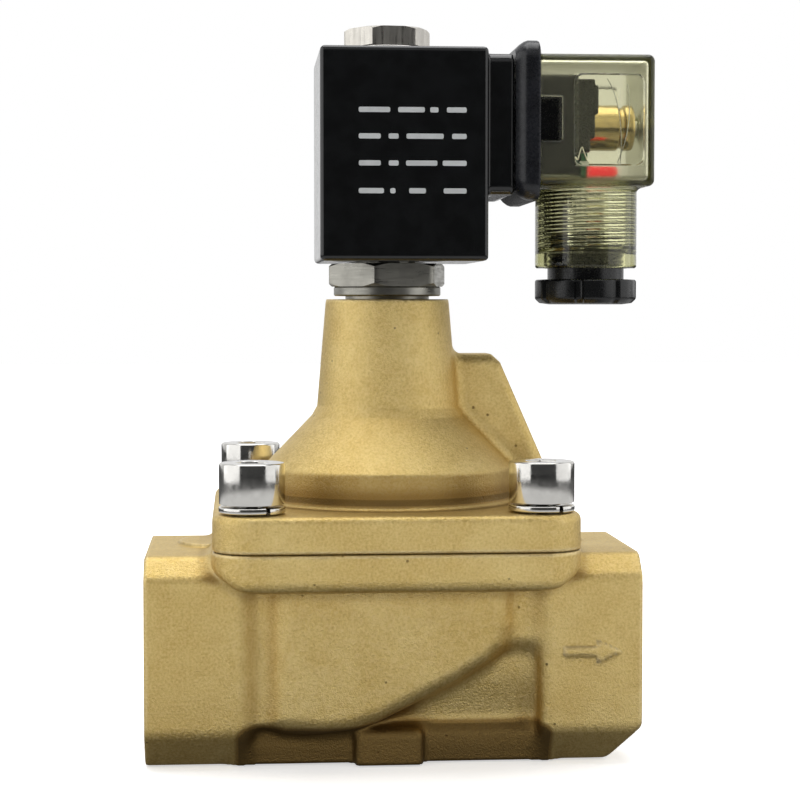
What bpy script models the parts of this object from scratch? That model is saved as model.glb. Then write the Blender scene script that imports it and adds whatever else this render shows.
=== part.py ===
"""Pilot-operated diaphragm solenoid valve with a plug-on coil connector.

Every dimension below is in millimetres; finish_piece() turns them into metres.
The origin lies on the vertical axis of the plunger, in the plane of the underside.
+X is the flow direction, from the inlet port to the outlet port, and +Z is up.
"""
import bmesh
import bpy
from math import cos, pi, radians, sin
from mathutils import Matrix, Vector

MM = 0.001
GAP = 0.3
BIG = 28
MEDIUM = 20
SMALL = 12

# --- cast body -----------------------------------------------------------------
PORT_END = 47.5
SHOULDER = 27.9
PORT_HALF_WIDTH = 22.0
PORT_TOP = 40.3
PORT_TOP_CHAMFER = 4.0
PORT_LOW_EDGE = 6.6
PORT_LOW_CHAMFER = 5.0
PORT_AXIS_Z = 20.15
THREAD_R = 15.2
THREAD_DEPTH = 18.0
PASSAGE_R = 12.3
PARTING_Z = 42.3
FLANGE_HALF = 34.5
FLANGE_CORNER = 8.0
FLANGE_LOW_Z = 34.9
FLANGE_SIDE_LOW_Z = 38.3
CORE_HALF_Y = 17.6
CORE_WAIST_Y = 15.8
CORE_TOP = 36.0
PLINTH_TOP = 6.3
STRIP_HALF_Y = 20.2
BELLY_HALF_Y = 23.2
BELLY_LEFT = -21.9
BELLY_RIGHT = 22.2
BELLY_TOP = 35.6
LOBE_R = 18.0
LOBE_Z = 19.6
BOSS_Y = 18.6
BOSS_HALF_Y = 2.4
ARROW_Z = 21.8
ARROW_RAISE = 0.4
SEAT_Z = 37.6
SEAT_BORE_R = 12.4
SEAT_TUBE_R = 15.2
CHAMBER_R = 20.6
CHAMBER_FLOOR = 22.5
CHAMBER_RISE = 12.8
SEAT_ROOM_FLOOR = 8.5
RECESS_R = 25.4
RECESS_Z = 40.3

# --- bonnet --------------------------------------------------------------------
PLATE_TOP = 49.2
DRUM_R = 25.0
DRUM_TOP = 56.0
CONE_TOP = 66.5
NECK_LOW_R = 14.4
NECK_TOP_R = 12.4
NECK_TOP = 89.4
DOME_R = 20.6
DOME_TOP = 53.0
SPRING_CUP_R = 11.0
SPRING_CUP_TOP = 61.0
PILOT_BORE_R = 8.6
PILOT_FLOOR = 77.0
PILOT_ROOM_R = 6.2
PILOT_ROOM_FLOOR = 75.0
RIB_FRONT = -1.0
RIB_BACK = 11.0
RIB_TOP = 78.2
EDGE_SOFT = 1.1
BLEED_R = 1.2
BLEED_X = -4.6
DUCT_R = 1.6
DUCT_Y = 5.0
DUCT_Z = 72.0
DUCT_FOOT_X = 27.5

# --- fasteners -----------------------------------------------------------------
SCREW_SPREAD = 27.05
SCREW_R = 2.95
SCREW_HEAD_R = 6.15
SCREW_HEAD_LOW = 50.9
SCREW_HEAD_TOP = 58.8
SCREW_TIP = 36.4
WASHER_R = 6.3
WASHER_TOP = 50.7

# --- armature tube and plunger ---------------------------------------------------
TUBE_R = 6.4
TUBE_BORE_R = 5.9
TUBE_LOW = 79.0
TUBE_TOP = 131.0
BASE_HEX_R = 12.2
BASE_HEX_TURN = 14.0
BASE_HEX_LOW = 91.5
BASE_HEX_TOP = 96.0
COLLAR_R = 10.6
SPIGOT_R = 8.3
PLUNGER_R = 5.6
PLUNGER_LOW = 79.3
PLUNGER_TOP = 116.0
CORE_LOW = 118.0
PILOT_TIP = 78.4
PILOT_HOLE_R = 0.9
SEAL_POCKET_R = 3.0
SEAL_POCKET_TOP = 82.6
SPRING_POCKET_R = 2.9
SPRING_POCKET_FLOOR = 100.0
PLUNGER_SPRING_R = 2.1
PLUNGER_WIRE_R = 0.3
STUD_R = 4.0
STUD_TOP = 141.0

# --- coil ------------------------------------------------------------------------
COIL_LEFT = -13.9
COIL_RIGHT = 18.3
COIL_HALF_Y = 16.6
COIL_LOW = 96.3
COIL_TOP = 137.1
COIL_EDGE = 0.8
COIL_BORE_R = 7.0
PAD_END = 23.5
PAD_HALF_Y = 13.9
PAD_LOW = 109.0
PAD_TOP = 136.2
HOLLOW_HALF_X = 11.6
HOLLOW_HALF_Y = 13.6
HOLLOW_LOW = 98.8
HOLLOW_TOP = 134.6
YOKE_THICK = 2.2
WINDING_R = 10.4
WINDING_INNER_R = 8.5
NUT_WASHER_R = 9.2
NUT_R = 8.7
NUT_TURN = 6.5
NUT_LOW = 138.4
NUT_TOP = 142.0

# --- plug-on connector -------------------------------------------------------------
GASKET_LEFT = 23.8
GASKET_RIGHT = 28.5
GASKET_HALF_Y = 15.7
GASKET_LOW = 108.0
GASKET_TOP = 138.8
COVER_LEFT = 28.8
COVER_RIGHT = 51.1
COVER_HALF_Y = 13.5
COVER_LOW = 110.9
COVER_TOP = 136.3
COVER_WALL = 1.2
BARREL_X = 39.8
BARREL_R = 10.1
BARREL_BORE_R = 7.9
BARREL_LOW = 95.2
GLAND_NECK_R = 7.6
GLAND_NECK_TOP = 98.0
GLAND_NUT_R = 10.2
GLAND_NUT_TOP = 92.9
GLAND_NUT_LOW = 88.0
GLAND_HOLE_R = 4.6
SCREW_AXIS_Z = 123.1
SLEEVE_R = 4.5
SLEEVE_LEFT = 36.7
SLEEVE_RIGHT = 48.9
CARRIER_LEFT = 25.0
CARRIER_RIGHT = 36.4
CARRIER_HALF_Y = 10.9
PIN_SPREAD_Y = 7.5
PIN_HALF_WIDTH = 3.1
PIN_HALF_THICK = 0.4
PIN_END = 34.0
EARTH_DROP = 8.0

# --- diaphragm ----------------------------------------------------------------------
BOLT_R = 2.6
BOLT_HOLE_R = 2.9
DIAPHRAGM_LOW = 37.9
DIAPHRAGM_RIM_LOW = 40.6
DIAPHRAGM_RIM_R = 25.0
RUBBER_THICK = 1.6
PLATE_R = 14.8
SEAT_PLATE_R = 11.8
BOLT_HEAD_R = 5.2
MAIN_SPRING_R = 8.4
MAIN_WIRE_R = 0.6

for old in list(bpy.data.objects):
    bpy.data.objects.remove(old, do_unlink=True)


# === materials =====================================================================
def material(name, colour, roughness, metallic=0.0, alpha=1.0):
    made = bpy.data.materials.new(name)
    made.use_nodes = True
    shader = made.node_tree.nodes["Principled BSDF"]
    shader.inputs["Base Color"].default_value = (*colour, 1.0)
    shader.inputs["Roughness"].default_value = roughness
    shader.inputs["Metallic"].default_value = metallic
    shader.inputs["Alpha"].default_value = alpha
    made.diffuse_color = (*colour, alpha)
    return made


BRASS = material("cast_brass", (0.62, 0.44, 0.17), 0.42, 1.0)
PLATED = material("nickel_plate", (0.72, 0.70, 0.66), 0.22, 1.0)
STAINLESS = material("stainless", (0.58, 0.57, 0.54), 0.3, 1.0)
SPRING_STEEL = material("spring_steel", (0.55, 0.55, 0.56), 0.28, 1.0)
COPPER = material("copper", (0.80, 0.42, 0.24), 0.3, 1.0)
RUBBER = material("black_rubber", (0.03, 0.03, 0.03), 0.7)
COIL_BLACK = material("coil_black", (0.012, 0.013, 0.014), 0.12)
GASKET_GREY = material("gasket_grey", (0.10, 0.10, 0.11), 0.5)
NYLON_BLACK = material("nylon_black", (0.02, 0.02, 0.022), 0.35)
SMOKED_CLEAR = material("smoked_clear", (0.72, 0.68, 0.45), 0.08, 0.0, 0.45)
BOARD_GREEN = material("board_green", (0.05, 0.22, 0.10), 0.5)
LAMP_RED = material("lamp_red", (0.80, 0.04, 0.05), 0.2)


# === shapes ========================================================================
def arc(centre, radius, start, end, steps):
    """Points on an arc, angles in degrees, both ends included."""
    return [
        (
            centre[0] + radius * cos(radians(start + (end - start) * i / steps)),
            centre[1] + radius * sin(radians(start + (end - start) * i / steps)),
        )
        for i in range(steps + 1)
    ]


def rounded_box(half_x, half_y, radius, steps=4, centre=(0.0, 0.0)):
    """Outline of a rectangle with round corners, counter-clockwise."""
    points = []
    for turn, (sx, sy) in enumerate(((1, 1), (-1, 1), (-1, -1), (1, -1))):
        middle = (centre[0] + sx * (half_x - radius), centre[1] + sy * (half_y - radius))
        points += arc(middle, radius, 90 * turn, 90 * turn + 90, steps)
    return points


def regular(radius, sides, turn=0.0, centre=(0.0, 0.0)):
    return [
        (
            centre[0] + radius * cos(2 * pi * i / sides + radians(turn)),
            centre[1] + radius * sin(2 * pi * i / sides + radians(turn)),
        )
        for i in range(sides)
    ]


def along(axis, point, level):
    """A point of a flat outline, put at a level along an axis."""
    if axis == "x":
        return Vector((level, point[0], point[1]))
    if axis == "y":
        return Vector((point[0], level, point[1]))
    return Vector((point[0], point[1], level))


def loft(sections, axis="z"):
    """Closed solid through outlines with equal point counts: [(outline, level), ...]."""
    bm = bmesh.new()
    rings = [[bm.verts.new(along(axis, p, level)) for p in outline] for outline, level in sections]
    count = len(rings[0])
    for low, high in zip(rings, rings[1:]):
        for i in range(count):
            j = (i + 1) % count
            bm.faces.new((low[i], low[j], high[j], high[i]))
    bm.faces.new(rings[0])
    bm.faces.new(rings[-1])
    bmesh.ops.recalc_face_normals(bm, faces=bm.faces)
    return bm


def prism(outline, low, high, axis="z"):
    return loft([(outline, low), (outline, high)], axis)


def block(low, high, bevel=0.0, segments=2):
    bm = bmesh.new()
    size = Vector(high) - Vector(low)
    centre = (Vector(high) + Vector(low)) / 2
    bmesh.ops.create_cube(bm, size=1.0)
    bmesh.ops.scale(bm, vec=size, verts=bm.verts)
    bmesh.ops.translate(bm, vec=centre, verts=bm.verts)
    if bevel:
        bmesh.ops.bevel(
            bm, geom=bm.edges[:], offset=bevel, segments=segments, affect="EDGES", profile=0.5
        )
    return bm


def turned(profile, steps=BIG, axis="z", centre=(0.0, 0.0)):
    """Spins a closed (radius, height) profile about an axis through centre."""
    bm = bmesh.new()
    line = [bm.verts.new((r, 0.0, h)) for r, h in profile]
    edges = [bm.edges.new((a, b)) for a, b in zip(line, line[1:] + line[:1])]
    bmesh.ops.spin(
        bm, geom=line + edges, cent=(0, 0, 0), axis=(0, 0, 1), angle=2 * pi, steps=steps
    )
    bmesh.ops.remove_doubles(bm, verts=bm.verts, dist=1e-4)
    loose = [e for e in bm.edges if not e.link_faces]
    bmesh.ops.delete(bm, geom=loose, context="EDGES")
    bmesh.ops.recalc_face_normals(bm, faces=bm.faces)
    if axis == "x":
        bm.transform(Matrix(((0, 0, 1, 0), (1, 0, 0, 0), (0, 1, 0, 0), (0, 0, 0, 1))))
        bm.transform(Matrix.Translation((0.0, centre[0], centre[1])))
    else:
        bm.transform(Matrix.Translation((centre[0], centre[1], 0.0)))
    return bm


def cylinder(radius, low, high, steps=BIG, axis="z", centre=(0.0, 0.0)):
    return prism(regular(radius, steps, 180 / steps, centre), low, high, axis)


def rod(start, end, radius, steps=SMALL):
    """A straight round bar between two points."""
    start, end = Vector(start), Vector(end)
    bm = cylinder(radius, 0.0, (end - start).length, steps)
    bm.transform((end - start).to_track_quat("Z", "Y").to_matrix().to_4x4())
    bm.transform(Matrix.Translation(start))
    return bm


def helix(radius, wire, low, high, turns, per_turn=14, sides=6, centre=(0.0, 0.0)):
    """Round wire wound from low to high, with closed flat end coils."""
    bm = bmesh.new()
    count = int(turns * per_turn)
    rings = []
    for i in range(count + 1):
        share = i / count
        eased = min(max((share * turns - 1.0) / (turns - 2.0), 0.0), 1.0)
        closed = (share * turns - (turns - 2.0) * eased) / 2.0
        height = low + wire + (high - low - 2 * wire - 4 * wire * 1.12) * eased
        height += 4 * wire * 1.12 * closed
        angle = 2 * pi * turns * share
        outward = Vector((cos(angle), sin(angle), 0.0))
        middle = outward * radius + Vector((centre[0], centre[1], height))
        rings.append([
            bm.verts.new(middle + outward * wire * cos(a) + Vector((0, 0, wire * sin(a))))
            for a in [2 * pi * k / sides for k in range(sides)]
        ])
    for low_ring, high_ring in zip(rings, rings[1:]):
        for i in range(sides):
            j = (i + 1) % sides
            bm.faces.new((low_ring[i], low_ring[j], high_ring[j], high_ring[i]))
    bm.faces.new(rings[0])
    bm.faces.new(rings[-1])
    bmesh.ops.recalc_face_normals(bm, faces=bm.faces)
    return bm


# === assembly ======================================================================
def joint_empty(name, x=0.0, y=0.0, z=0.0, parent=None):
    empty = bpy.data.objects.new(name, None)
    bpy.context.scene.collection.objects.link(empty)
    empty.empty_display_size = 0.01
    place = Vector((x, y, z)) * MM
    empty["place"] = place
    if parent:
        empty.parent = parent
        place = place - Vector(parent["place"])
    empty.location = place
    return empty


def finish_piece(name, bm, look, parent=None, sharp=35.0):
    """Makes a named object in metres, with its origin on its joint's axis."""
    mesh = bpy.data.meshes.new(name)
    bm.to_mesh(mesh)
    bm.free()
    mesh.transform(Matrix.Scale(MM, 4))
    mesh.materials.append(look)
    mesh.shade_smooth()
    mesh.set_sharp_from_angle(angle=radians(sharp))
    made = bpy.data.objects.new(name, mesh)
    bpy.context.scene.collection.objects.link(made)
    if parent:
        mesh.transform(Matrix.Translation(-Vector(parent["place"])))
        made.parent = parent
    return made


def operand(target, bm, operation):
    """A hidden shape that is added to, or cut from, the target."""
    tool = finish_piece(f"{target.name}_{operation.lower()}_{len(target.modifiers)}", bm, BRASS)
    tool.hide_render = True
    tool.display_type = "WIRE"
    step = target.modifiers.new(operation.lower(), "BOOLEAN")
    step.operation = operation
    step.solver = "EXACT"
    step.object = tool


def add(target, *shapes):
    for bm in shapes:
        operand(target, bm, "UNION")


def cut(target, *shapes):
    for bm in shapes:
        operand(target, bm, "DIFFERENCE")


def corner_places():
    return [(sx * SCREW_SPREAD, sy * SCREW_SPREAD) for sy in (-1, 1) for sx in (-1, 1)]


# === cast body =======================================================================
def port_outline():
    wide, low_y = PORT_HALF_WIDTH, PORT_HALF_WIDTH - PORT_LOW_CHAMFER
    top_y = PORT_HALF_WIDTH - PORT_TOP_CHAMFER
    half = [(low_y, 0.0), (wide, PORT_LOW_EDGE), (wide, PORT_TOP - PORT_TOP_CHAMFER), (top_y, PORT_TOP)]
    return half + [(-y, z) for y, z in reversed(half)]


def port_block(side):
    """One wrench-flatted end, with a softened inner shoulder."""
    full = port_outline()
    middle = Vector((0.0, PORT_AXIS_Z))
    inner = [tuple(middle + (Vector(p) - middle) * 0.92) for p in full]
    start, square = SHOULDER - 0.6, SHOULDER + 1.4
    return loft([(inner, side * start), (full, side * square), (full, side * PORT_END)], "x")


def belly_outline():
    """Front view of the inlet chamber's bulge; its lower edge rises towards the outlet."""
    lower = [(BELLY_LEFT, 7.6), (-10.0, 7.8), (-3.4, 9.9), (3.4, 12.6), (12.1, 16.7), (18.8, 20.5)]
    return lower + [(BELLY_RIGHT, 25.0), (BELLY_RIGHT, BELLY_TOP), (BELLY_LEFT, BELLY_TOP)]


def belly():
    outline = belly_outline()
    middle = Vector((0.0, 24.0))
    inner = [tuple(middle + (Vector(p) - middle) * 0.93) for p in outline]
    edge = BELLY_HALF_Y - 2.0
    sections = [(inner, -BELLY_HALF_Y), (outline, -edge), (outline, edge), (inner, BELLY_HALF_Y)]
    return loft(sections, "y")


def body_flange():
    wide = FLANGE_HALF
    low = rounded_box(wide - 6.0, wide - 0.8, FLANGE_CORNER - 2.0)
    full = rounded_box(wide, wide, FLANGE_CORNER)
    sections = [(low, FLANGE_LOW_Z), (full, FLANGE_SIDE_LOW_Z), (full, PARTING_Z - GAP / 2)]
    return loft(sections)


def inlet_chamber():
    """Annular space round the seat tube; its floor climbs from the inlet to the outlet side."""
    inner, outer, floor = [], [], []
    for i in range(BIG):
        angle = 2 * pi * i / BIG
        inner.append((SEAT_TUBE_R * cos(angle), SEAT_TUBE_R * sin(angle)))
        outer.append((CHAMBER_R * cos(angle), CHAMBER_R * sin(angle)))
        floor.append(CHAMBER_FLOOR + CHAMBER_RISE * cos(angle))
    bm = bmesh.new()
    top = PARTING_Z + 1.0
    rings = [
        [bm.verts.new((p[0], p[1], z)) for p, z in zip(ring, levels)]
        for ring, levels in (
            (inner, floor), (outer, floor), (outer, [top] * BIG), (inner, [top] * BIG)
        )
    ]
    for a, b in zip(rings, rings[1:] + rings[:1]):
        for i in range(BIG):
            j = (i + 1) % BIG
            bm.faces.new((a[i], a[j], b[j], b[i]))
    bmesh.ops.recalc_face_normals(bm, faces=bm.faces)
    return bm


def flow_arrow():
    """Raised arrow that points along the flow, on the front of the outlet port."""
    shaft, head = 0.9, 2.1
    start, neck, tip = 32.2, 38.6, 42.8
    z = ARROW_Z
    outline = [
        (start, z - shaft), (neck, z - shaft), (neck, z - head), (tip, z),
        (neck, z + head), (neck, z + shaft), (start, z + shaft),
    ]
    return prism(outline, -PORT_HALF_WIDTH - ARROW_RAISE, -PORT_HALF_WIDTH + 1.0, "y")


def outlet_dressing():
    """The outlet's end face is dressed off along its lower edge."""
    past, under, wide = PORT_END + 1.0, -1.0, PORT_HALF_WIDTH + 8.0
    return prism([(PORT_END - 5.2, under), (past, under), (past, 7.6)], -wide, wide, "y")


def valve_body():
    body = finish_piece("valve_body", body_flange(), BRASS)
    inside, top = SHOULDER + 1.0, PARTING_Z + 1.0
    foot, waist = CORE_HALF_Y, CORE_WAIST_Y
    core = [(-foot, 0.0), (foot, 0.0), (foot, PLINTH_TOP), (waist, 9.0), (waist, CORE_TOP)]
    core += [(-waist, CORE_TOP), (-waist, 9.0), (-foot, PLINTH_TOP)]
    inlet_strip = block((-29.5, -STRIP_HALF_Y, PLINTH_TOP), (-18.0, STRIP_HALF_Y, CORE_TOP), 1.4)
    outlet_strip = block((20.0, -STRIP_HALF_Y, 20.0), (29.5, STRIP_HALF_Y, CORE_TOP), 1.4)
    lobe = cylinder(LOBE_R, 0.0, inside, BIG, "x", (0.0, LOBE_Z))
    add(body, prism(core, -inside, inside, "x"), belly(), lobe, inlet_strip, outlet_strip)
    add(body, port_block(-1), port_block(1), flow_arrow())
    for side in (-1, 1):
        near, far = side * BOSS_Y - BOSS_HALF_Y, side * BOSS_Y + BOSS_HALF_Y
        add(body, block((-7.4, near, 0.0), (5.4, far, 8.0), 1.0))
    inlet_disc = cylinder(8.5, PORT_TOP - 1.0, PORT_TOP + 0.7, MEDIUM, "z", (-33.0, 3.0))
    add(body, inlet_disc)
    cut(body, outlet_dressing())
    for side in (-1, 1):
        start, end = side * (PORT_END - THREAD_DEPTH), side * (PORT_END + 1.0)
        cut(body, cylinder(THREAD_R, min(start, end), max(start, end), BIG, "x", (0.0, PORT_AXIS_Z)))
    throat = PORT_END - THREAD_DEPTH + 1.5
    cut(body, cylinder(PASSAGE_R, -throat, 4.0 - CHAMBER_R, BIG, "x", (0.0, PORT_AXIS_Z)))
    cut(body, cylinder(PASSAGE_R, 0.0, throat, BIG, "x", (0.0, PORT_AXIS_Z)))
    cut(body, inlet_chamber(), cylinder(SEAT_BORE_R, SEAT_ROOM_FLOOR, top, BIG))
    lip = SEAT_TUBE_R + 0.9
    recess = [(RECESS_R, RECESS_Z), (RECESS_R, top), (0.0, top), (0.0, SEAT_Z), (lip, SEAT_Z)]
    recess.append((lip, RECESS_Z))
    cut(body, turned(recess))
    for place in corner_places():
        cut(body, cylinder(SCREW_R + GAP, 30.0, top, SMALL, "z", place))
    cut(body, rod((DUCT_FOOT_X, DUCT_Y, 30.0), (DUCT_FOOT_X, DUCT_Y, top), DUCT_R))
    return body


# === bonnet ==========================================================================
def bonnet_tower():
    """Drum, cone and tapered neck, as one turned outline."""
    low = 46.0
    profile = [(0.0, low), (DRUM_R, low), (DRUM_R, DRUM_TOP - EDGE_SOFT), (DRUM_R - EDGE_SOFT, DRUM_TOP)]
    profile += [(NECK_LOW_R + 1.0, CONE_TOP), (NECK_LOW_R - 0.1, CONE_TOP + 1.6)]
    profile += [(NECK_TOP_R + 0.1, NECK_TOP - 1.0), (NECK_TOP_R - 0.9, NECK_TOP), (0.0, NECK_TOP)]
    return turned(profile)


def bonnet_rib():
    """Web behind the cone that holds the duct down to the outlet."""
    root, low = 6.0, 47.0
    outline = [(root, low), (35.0, low), (31.4, 57.0), (22.9, 76.0), (20.9, RIB_TOP), (root, RIB_TOP)]
    web = prism(outline, RIB_FRONT, RIB_BACK, "y")
    crossing = [e for e in web.edges if abs((e.verts[0].co - e.verts[1].co).y) < 0.1]
    bmesh.ops.bevel(web, geom=crossing, offset=1.4, segments=2, affect="EDGES", profile=0.5)
    return web


def bonnet():
    full = rounded_box(FLANGE_HALF, FLANGE_HALF, FLANGE_CORNER)
    eased = rounded_box(FLANGE_HALF - EDGE_SOFT, FLANGE_HALF - EDGE_SOFT, FLANGE_CORNER - EDGE_SOFT)
    plate = loft([(full, PARTING_Z + GAP / 2), (full, PLATE_TOP - EDGE_SOFT), (eased, PLATE_TOP)])
    made = finish_piece("bonnet", plate, BRASS)
    add(made, bonnet_tower(), bonnet_rib())
    below, above = PARTING_Z - 1.3, NECK_TOP + 1.0
    dome = [(0.0, below), (DOME_R, below), (DOME_R, DOME_TOP - 3.0), (DOME_R - 3.0, DOME_TOP)]
    dome += [(SPRING_CUP_R, DOME_TOP), (SPRING_CUP_R, SPRING_CUP_TOP - 1.5)]
    dome += [(SPRING_CUP_R - 1.5, SPRING_CUP_TOP), (0.0, SPRING_CUP_TOP)]
    pilot = [(0.0, PILOT_ROOM_FLOOR), (PILOT_ROOM_R, PILOT_ROOM_FLOOR), (PILOT_ROOM_R, PILOT_FLOOR)]
    pilot += [(PILOT_BORE_R, PILOT_FLOOR), (PILOT_BORE_R, above), (0.0, above)]
    cut(made, turned(dome), turned(pilot, MEDIUM))
    cut(made, cylinder(BLEED_R, SPRING_CUP_TOP - 3.0, PILOT_FLOOR, SMALL, "z", (BLEED_X, 0.0)))
    cut(made, cylinder(SEAL_POCKET_R + GAP, DUCT_Z - 1.0, PILOT_ROOM_FLOOR + 1.0, SMALL))
    elbow = (16.5, DUCT_Y, DUCT_Z)
    cut(made, rod((0.0, 0.0, DUCT_Z), elbow, DUCT_R))
    cut(made, rod((15.2, DUCT_Y, DUCT_Z + 3.0), (DUCT_FOOT_X + 1.2, DUCT_Y, 40.0), DUCT_R))
    for place in corner_places():
        cut(made, cylinder(SCREW_R + GAP, below, PLATE_TOP + 1.0, SMALL, "z", place))
    return made


def pilot_seat():
    low, shoulder = DUCT_Z + 0.2, PILOT_ROOM_FLOOR + 1.2
    profile = [(PILOT_HOLE_R, low), (SEAL_POCKET_R, low), (SEAL_POCKET_R, shoulder)]
    profile += [(1.8, PILOT_TIP), (PILOT_HOLE_R, PILOT_TIP)]
    return finish_piece("pilot_seat", turned(profile, SMALL), STAINLESS)


# === fasteners =======================================================================
def cap_screw(name, place):
    """Socket-head cap screw: turned head and shank with a hexagon socket."""
    edge = 0.8
    profile = [(0.0, SCREW_TIP), (SCREW_R - 0.6, SCREW_TIP), (SCREW_R, SCREW_TIP + 0.6)]
    profile += [(SCREW_R, SCREW_HEAD_LOW), (SCREW_HEAD_R - 0.3, SCREW_HEAD_LOW)]
    profile += [(SCREW_HEAD_R, SCREW_HEAD_LOW + 0.3), (SCREW_HEAD_R, SCREW_HEAD_TOP - edge)]
    profile += [(SCREW_HEAD_R - edge, SCREW_HEAD_TOP), (0.0, SCREW_HEAD_TOP)]
    made = finish_piece(name, turned(profile, MEDIUM, "z", place), PLATED)
    socket_r, socket_depth = 3.2, 3.6
    cut(made, prism(regular(socket_r, 6, 30, place), SCREW_HEAD_TOP - socket_depth, SCREW_HEAD_TOP + 1.0))
    return made


def spring_washer(name, place):
    """Split lock washer, with its narrow slot."""
    bore, low = SCREW_R + 0.45, PLATE_TOP + GAP
    profile = [(bore, low), (WASHER_R, low), (WASHER_R, WASHER_TOP), (bore, WASHER_TOP)]
    made = finish_piece(name, turned(profile, MEDIUM, "z", place), PLATED)
    near = (place[0] + bore - 0.9, place[1] - 0.5, low - 1.0)
    far = (place[0] + WASHER_R + 1.0, place[1] + 0.5, WASHER_TOP + 1.0)
    cut(made, block(near, far))
    return made


# === armature tube ===================================================================
def tube_base():
    """Collar, wrench hexagon and the spigot that screws into the neck."""
    chamfer, clear = 1.0, BASE_HEX_R + 0.2
    hexagon = regular(BASE_HEX_R, 6, BASE_HEX_TURN)
    made = finish_piece("tube_base_nut", prism(hexagon, BASE_HEX_LOW, BASE_HEX_TOP), STAINLESS)
    trim = [(0.0, BASE_HEX_LOW - 0.1), (BASE_HEX_R - chamfer, BASE_HEX_LOW - 0.1)]
    trim += [(clear, BASE_HEX_LOW + chamfer), (clear, BASE_HEX_TOP - chamfer)]
    trim += [(BASE_HEX_R - chamfer, BASE_HEX_TOP + 0.1), (0.0, BASE_HEX_TOP + 0.1)]
    operand(made, turned(trim, BIG), "INTERSECT")
    foot, joint = TUBE_LOW + 1.6, BASE_HEX_LOW + 0.4
    lower = [(0.0, foot), (SPIGOT_R, foot), (SPIGOT_R, NECK_TOP + GAP), (COLLAR_R, NECK_TOP + GAP)]
    lower += [(COLLAR_R, joint), (0.0, joint)]
    add(made, turned(lower, BIG))
    cut(made, cylinder(TUBE_R + GAP, TUBE_LOW + 1.0, BASE_HEX_TOP + 1.0, MEDIUM))
    return made


def armature_tube():
    lip = TUBE_LOW + 1.2
    profile = [(TUBE_BORE_R, TUBE_LOW), (SPIGOT_R, TUBE_LOW), (SPIGOT_R, lip), (TUBE_R, lip)]
    profile += [(TUBE_R, TUBE_TOP), (TUBE_BORE_R, TUBE_TOP)]
    return finish_piece("armature_tube", turned(profile, MEDIUM), STAINLESS)


def tube_seal():
    """O-ring that seals the tube's lip against the neck."""
    section = arc((7.4, TUBE_LOW - 0.95), 0.75, 0, 315, 7)
    return finish_piece("tube_seal", turned(section, MEDIUM), RUBBER)


def fixed_core():
    """Pole piece that closes the tube, with the groove of its shading ring and its threaded stud."""
    groove_in, groove_out, groove_top = 3.5, 4.7, CORE_LOW + 1.5
    profile = [(0.0, CORE_LOW), (groove_in, CORE_LOW), (groove_in, groove_top), (groove_out, groove_top)]
    profile += [(groove_out, CORE_LOW), (PLUNGER_R, CORE_LOW), (PLUNGER_R, TUBE_TOP + GAP)]
    profile += [(TUBE_R, TUBE_TOP + GAP), (TUBE_R, TUBE_TOP + 3.0), (STUD_R, TUBE_TOP + 3.4)]
    profile += [(STUD_R, STUD_TOP - 0.5), (STUD_R - 0.5, STUD_TOP), (0.0, STUD_TOP)]
    return finish_piece("fixed_core", turned(profile, MEDIUM), STAINLESS)


def shading_ring():
    inner, outer, low, high = 3.75, 4.45, CORE_LOW + 0.1, CORE_LOW + 1.2
    profile = [(inner, low), (outer, low), (outer, high), (inner, high)]
    return finish_piece("shading_ring", turned(profile, MEDIUM), COPPER)


def plunger_pieces(parent):
    edge = 0.4
    profile = [(0.0, SEAL_POCKET_TOP), (SEAL_POCKET_R, SEAL_POCKET_TOP), (SEAL_POCKET_R, PLUNGER_LOW)]
    profile += [(PLUNGER_R - edge, PLUNGER_LOW), (PLUNGER_R, PLUNGER_LOW + edge)]
    profile += [(PLUNGER_R, PLUNGER_TOP - edge), (PLUNGER_R - edge, PLUNGER_TOP)]
    profile += [(SPRING_POCKET_R, PLUNGER_TOP), (SPRING_POCKET_R, SPRING_POCKET_FLOOR)]
    profile += [(0.0, SPRING_POCKET_FLOOR)]
    finish_piece("plunger", turned(profile, MEDIUM), STAINLESS, parent)
    seal = cylinder(SEAL_POCKET_R - GAP, PILOT_TIP + GAP, SEAL_POCKET_TOP - GAP, SMALL)
    finish_piece("plunger_seal", seal, RUBBER, parent)
    foot, tip = SPRING_POCKET_FLOOR + 0.2, CORE_LOW - 0.2
    spring = helix(PLUNGER_SPRING_R, PLUNGER_WIRE_R, foot, tip, 7, 9, 4)
    finish_piece("plunger_spring", spring, SPRING_STEEL, parent)


# === diaphragm =======================================================================
def diaphragm(parent):
    """Rubber disc, raised to a clamped rim through one soft fold."""
    flat_top, rim_top = DIAPHRAGM_LOW + RUBBER_THICK, PARTING_Z - 0.2
    low = [(BOLT_HOLE_R, DIAPHRAGM_LOW), (16.2, DIAPHRAGM_LOW), (18.2, 39.4)]
    low += [(20.2, DIAPHRAGM_RIM_LOW), (DIAPHRAGM_RIM_R, DIAPHRAGM_RIM_LOW)]
    high = [(DIAPHRAGM_RIM_R, rim_top), (19.6, rim_top), (17.4, 41.0), (15.6, flat_top)]
    finish_piece("diaphragm", turned(low + high + [(BOLT_HOLE_R, flat_top)]), RUBBER, parent)


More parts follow.
